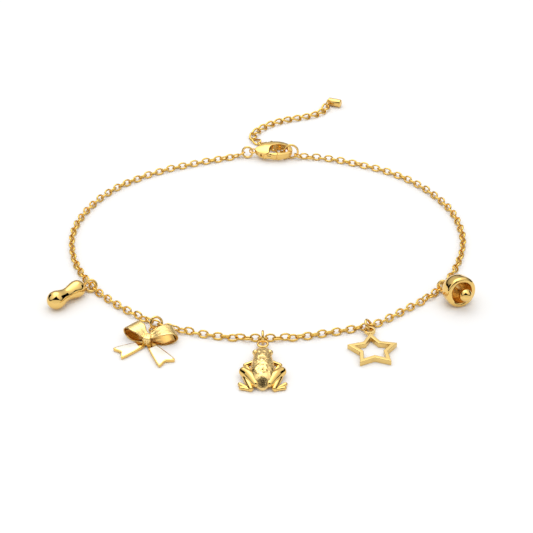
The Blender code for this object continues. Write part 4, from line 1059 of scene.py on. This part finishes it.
def frog_trunk(nose, satin):
    """Trunk and head with the cast relief on the back, and the eyes."""
    sections = smooth_line([tuple(row[1:]) for row in FROG_SECTIONS], steps=14)
    alongs = smooth_line([(row[0], 0.0) for row in FROG_SECTIONS], steps=14)
    relief = BackRelief()
    shape = Shape()
    rings = []
    for place, section in zip(alongs, sections):
        along = place.x * FROG_LENGTH
        half = section.x * FROG_BODY_WIDTH / 2
        high = section.y * FROG_HEIGHT
        low = section.z * FROG_HEIGHT
        ring = []
        for turn in turns(96):
            across = half * math.cos(turn)
            rise = math.sin(turn)
            lifted = relief.at(across, along) * max(0.0, rise) ** 0.5 if rise > 0 else 0.0
            ring.append((across + math.cos(turn) * lifted * 0.5, nose - along,
                         (high + low) / 2 + (high - low) / 2 * rise + lifted))
        rings.append(shape.ring(ring))
    shape.loft(rings)
    aside, behind, up = EYE_PLACE
    for side in (-1, 1):
        eye = Vector((FROG_BODY_WIDTH / 2 * aside * side, nose - behind * FROG_LENGTH, FROG_HEIGHT * up))
        shape.ball(eye, FROG_EYE, 28, 18)
    return shape.build("frog_trunk", satin, 60.0)


def frog_limbs(nose, gold):
    """Legs, feet and arms, melted together where they meet."""
    half_span = FROG_SPAN / 2
    half_body = FROG_BODY_WIDTH / 2
    shape = Shape()

    def spot(across, along, height):
        return Vector((across, nose - along * FROG_LENGTH, height + REST))

    for side in (-1, 1):
        knee = spot((half_span - THIGH) * side, 0.64, THIGH * 1.25)
        hip = spot(half_body * 0.55 * side, 0.93, THIGH * 1.05)
        middle = (knee + hip) / 2 + Vector((-0.2 * MM * side, 0.3 * MM, 0.25 * MM))
        shape.capsule([knee, middle, hip], [THIGH, THIGH * 1.08, THIGH * 0.72])
        ankle = spot(half_body * 0.92 * side, 1.0, SHIN)
        shin_top = knee + Vector((0.25 * MM * side, -0.5 * MM, -0.35 * MM))
        shape.capsule([shin_top, (shin_top + ankle) / 2, ankle], [SHIN * 0.9, SHIN, SHIN * 0.8])
        heel = spot(half_body * 0.95 * side, 1.005, SHIN * 0.62)
        for across, along, size in TOES:
            toe = spot((half_span - across * MM) * side, along, SHIN * size)
            shape.capsule([heel, (heel + toe) / 2, toe], [SHIN * 0.70, SHIN * 0.58, SHIN * size])
        shoulder = spot(half_body * 0.62 * side, 0.40, FROG_HEIGHT * 0.42)
        elbow = spot((half_span - 2.0 * MM) * side, 0.455, ARM * 2.0)
        hand = spot(half_body * 1.05 * side, 0.545, ARM * 1.05)
        shape.capsule([shoulder, (shoulder + elbow) / 2, elbow], [ARM * 1.15, ARM, ARM])
        shape.capsule([elbow, (elbow + hand) / 2, hand], [ARM, ARM * 0.85, ARM * 0.95])
    limbs = shape.build("frog_limbs", gold)
    melt(limbs, *LIMB_SKIN)
    return limbs


def melt(item, voxel, rounds):
    """Joins overlapping forms into one skin with soft fillets."""
    skin = item.modifiers.new("Remesh", "REMESH")
    skin.mode = "VOXEL"
    skin.voxel_size = voxel
    skin.use_smooth_shade = True
    soft = item.modifiers.new("Smooth", "SMOOTH")
    soft.factor = 0.5
    soft.iterations = rounds


def build_frog(finishes):
    """Satin trunk with cast relief, polished limbs and a flat eyelet at the nose."""
    hold = Hold("ring_frog", FROG_HOLD)
    matrix = hold.on_table(0.0)
    slack = EYELET_SLACK * 1.6
    centre = Vector((0, -slack, hold.place.z - GROUND))
    nose = -slack - WIDE_EYELET_DIAMETER / 2 + EYELET_WIRE * 0.45 - NOSE_FORWARD
    settle(frog_trunk(nose, finishes["satin"]), "satin_gold", "frog", matrix=matrix)
    settle(frog_limbs(nose, finishes["polished"]), "satin_gold", matrix=matrix)
    shape = Shape()
    shape.loop(centre, UP, WIDE_EYELET_DIAMETER * 1.08, EYELET_WIRE * 1.35, 48, 16)
    settle(shape.build("frog_eyelet", finishes["polished"]), "satin_gold", matrix=matrix)


def dress(node, material):
    """A CAD node shown in its own shape, with its finish."""
    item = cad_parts[node]
    item.data.materials.clear()
    item.data.materials.append(material)
    item.data.shade_smooth()
    weld = item.modifiers.new("Weld", "WELD")
    weld.merge_threshold = 0.002 * MM
    return item


def studio_material(name, colour, roughness, specular, light=0.0):
    """A plain grey material, which may shine white."""
    material = bpy.data.materials.new(name)
    material.use_nodes = True
    shader = material.node_tree.nodes["Principled BSDF"]
    shader.inputs["Base Color"].default_value = (colour, colour, colour, 1.0)
    shader.inputs["Roughness"].default_value = roughness
    shader.inputs["Specular IOR Level"].default_value = specular
    shader.inputs["Emission Color"].default_value = (1.0, 1.0, 1.0, 1.0)
    shader.inputs["Emission Strength"].default_value = light
    return material


def only_reflected(item):
    """Keeps a studio piece out of sight, so that only reflections see it."""
    item.visible_camera = False
    item.visible_diffuse = False
    item.visible_shadow = False


def add_floor():
    bpy.ops.mesh.primitive_plane_add(size=FLOOR_SIZE, location=(0, 0, CAD_LOW.z))
    floor = bpy.context.object
    floor.name = "floor"
    floor.data.materials.append(studio_material("floor_white", 0.92, 0.6, 0.2))


def add_overhead():
    """A wide soft light straight above, which reflections don't see."""
    data = bpy.data.lights.new("overhead", "AREA")
    data.size = OVERHEAD_SIZE
    data.energy = OVERHEAD_POWER
    light = bpy.data.objects.new("overhead", data)
    light.location = (0, 0, OVERHEAD_HEIGHT)
    bpy.context.scene.collection.objects.link(light)
    light.visible_glossy = False


def add_card(name, rows, distance, radiance):
    """A curved card that only reflections see: black, or white and glowing."""
    columns = smooth_line(rows, steps=4)
    shape = Shape()
    edges = []
    for column in (1, 2):
        edge = []
        for row in columns:
            bearing = math.radians(row[0])
            height = math.radians(max(row[column], 0.0))
            edge.append((math.sin(bearing) * math.cos(height) * distance,
                         -math.cos(bearing) * math.cos(height) * distance,
                         math.sin(height) * distance + CAD_LOW.z))
        edges.append(shape.ring(edge))
    for index in range(len(columns) - 1):
        shape.bm.faces.new((edges[0][index], edges[0][index + 1], edges[1][index + 1], edges[1][index]))
    only_reflected(shape.build(name, studio_material(name, 0.0, 1.0, 0.0, radiance)))


def add_glow():
    """A soft-edged glow above and behind the table that only reflections see."""
    bpy.ops.mesh.primitive_plane_add(size=2.0, location=GLOW_PLACE)
    glow = bpy.context.object
    glow.name = "glow"
    glow.scale = (GLOW_SIZE, GLOW_SIZE, 1.0)
    glow.rotation_euler = (-Vector(GLOW_PLACE)).to_track_quat("-Z", "Y").to_euler()
    material = studio_material("glow", 0.0, 0.5, 0.0, GLOW_LIGHT)
    nodes = material.node_tree.nodes
    links = material.node_tree.links
    coords = nodes.new("ShaderNodeTexCoord")
    fall = nodes.new("ShaderNodeTexGradient")
    fall.gradient_type = "SPHERICAL"
    soft = nodes.new("ShaderNodeMapRange")
    soft.interpolation_type = "SMOOTHSTEP"
    soft.inputs["From Max"].default_value = 0.7
    links.new(coords.outputs["Object"], fall.inputs["Vector"])
    links.new(fall.outputs["Fac"], soft.inputs["Value"])
    links.new(soft.outputs["Result"], nodes["Principled BSDF"].inputs["Alpha"])
    glow.data.materials.append(material)
    only_reflected(glow)


def add_world():
    """A dark horizon that brightens upwards, so that polished metal shows its shape."""
    world = bpy.data.worlds.new("studio")
    bpy.context.scene.world = world
    world.use_nodes = True
    nodes = world.node_tree.nodes
    links = world.node_tree.links
    coords = nodes.new("ShaderNodeTexCoord")
    split = nodes.new("ShaderNodeSeparateXYZ")
    ramp = nodes.new("ShaderNodeValToRGB")
    links.new(coords.outputs["Generated"], split.inputs["Vector"])
    links.new(split.outputs["Z"], ramp.inputs["Fac"])
    links.new(ramp.outputs["Color"], nodes["Background"].inputs["Color"])
    nodes["Background"].inputs["Strength"].default_value = WORLD_LIGHT
    steps = ramp.color_ramp.elements
    for step, (place, grey) in zip(steps, (WORLD_STEPS[0], WORLD_STEPS[-1])):
        step.position = place
        step.color = (grey, grey, grey, 1.0)
    for place, grey in WORLD_STEPS[1:-1]:
        steps.new(place).color = (grey, grey, grey, 1.0)


def add_studio():
    add_world()
    add_overhead()
    add_card("front_board", FRONT_BOARD, BOARD_DISTANCE, BOARD_LIGHT)
    add_card("dark_card", DARK_CARD, CARD_DISTANCE, 0.0)
    add_card("right_card", SIDE_CARD, CARD_DISTANCE, 0.0)
    add_card("left_card", [(-bearing, low, high) for bearing, low, high in SIDE_CARD], CARD_DISTANCE, 0.0)
    add_glow()
    bpy.context.scene.view_settings.view_transform = "Standard"


def add_camera():
    data = bpy.data.cameras.new("camera")
    data.lens = CAMERA_LENS
    data.sensor_width = 36.0
    data.clip_start = 0.01
    camera = bpy.data.objects.new("camera", data)
    camera.location = CAMERA_PLACE
    camera.rotation_euler = (math.radians(90.0 - CAMERA_ELEVATION), 0.0, 0.0)
    bpy.context.scene.collection.objects.link(camera)
    bpy.context.scene.camera = camera


finishes = make_finishes()
build_chain(finishes["chain"])
build_rings(finishes["polished"])
build_extender(finishes["chain"])
melt(dress("clasp_body", finishes["domed"]), *CLASP_SKIN)
melt(dress("clasp_lever", finishes["domed"]), *LEVER_SKIN)
build_end_drop(finishes["polished"])
build_peanut(finishes["polished"])
build_bow(finishes)
build_frog(finishes)
build_star(finishes["mellow"])
build_bell(finishes["polished"], finishes["inside"])
add_floor()
add_studio()
add_camera()
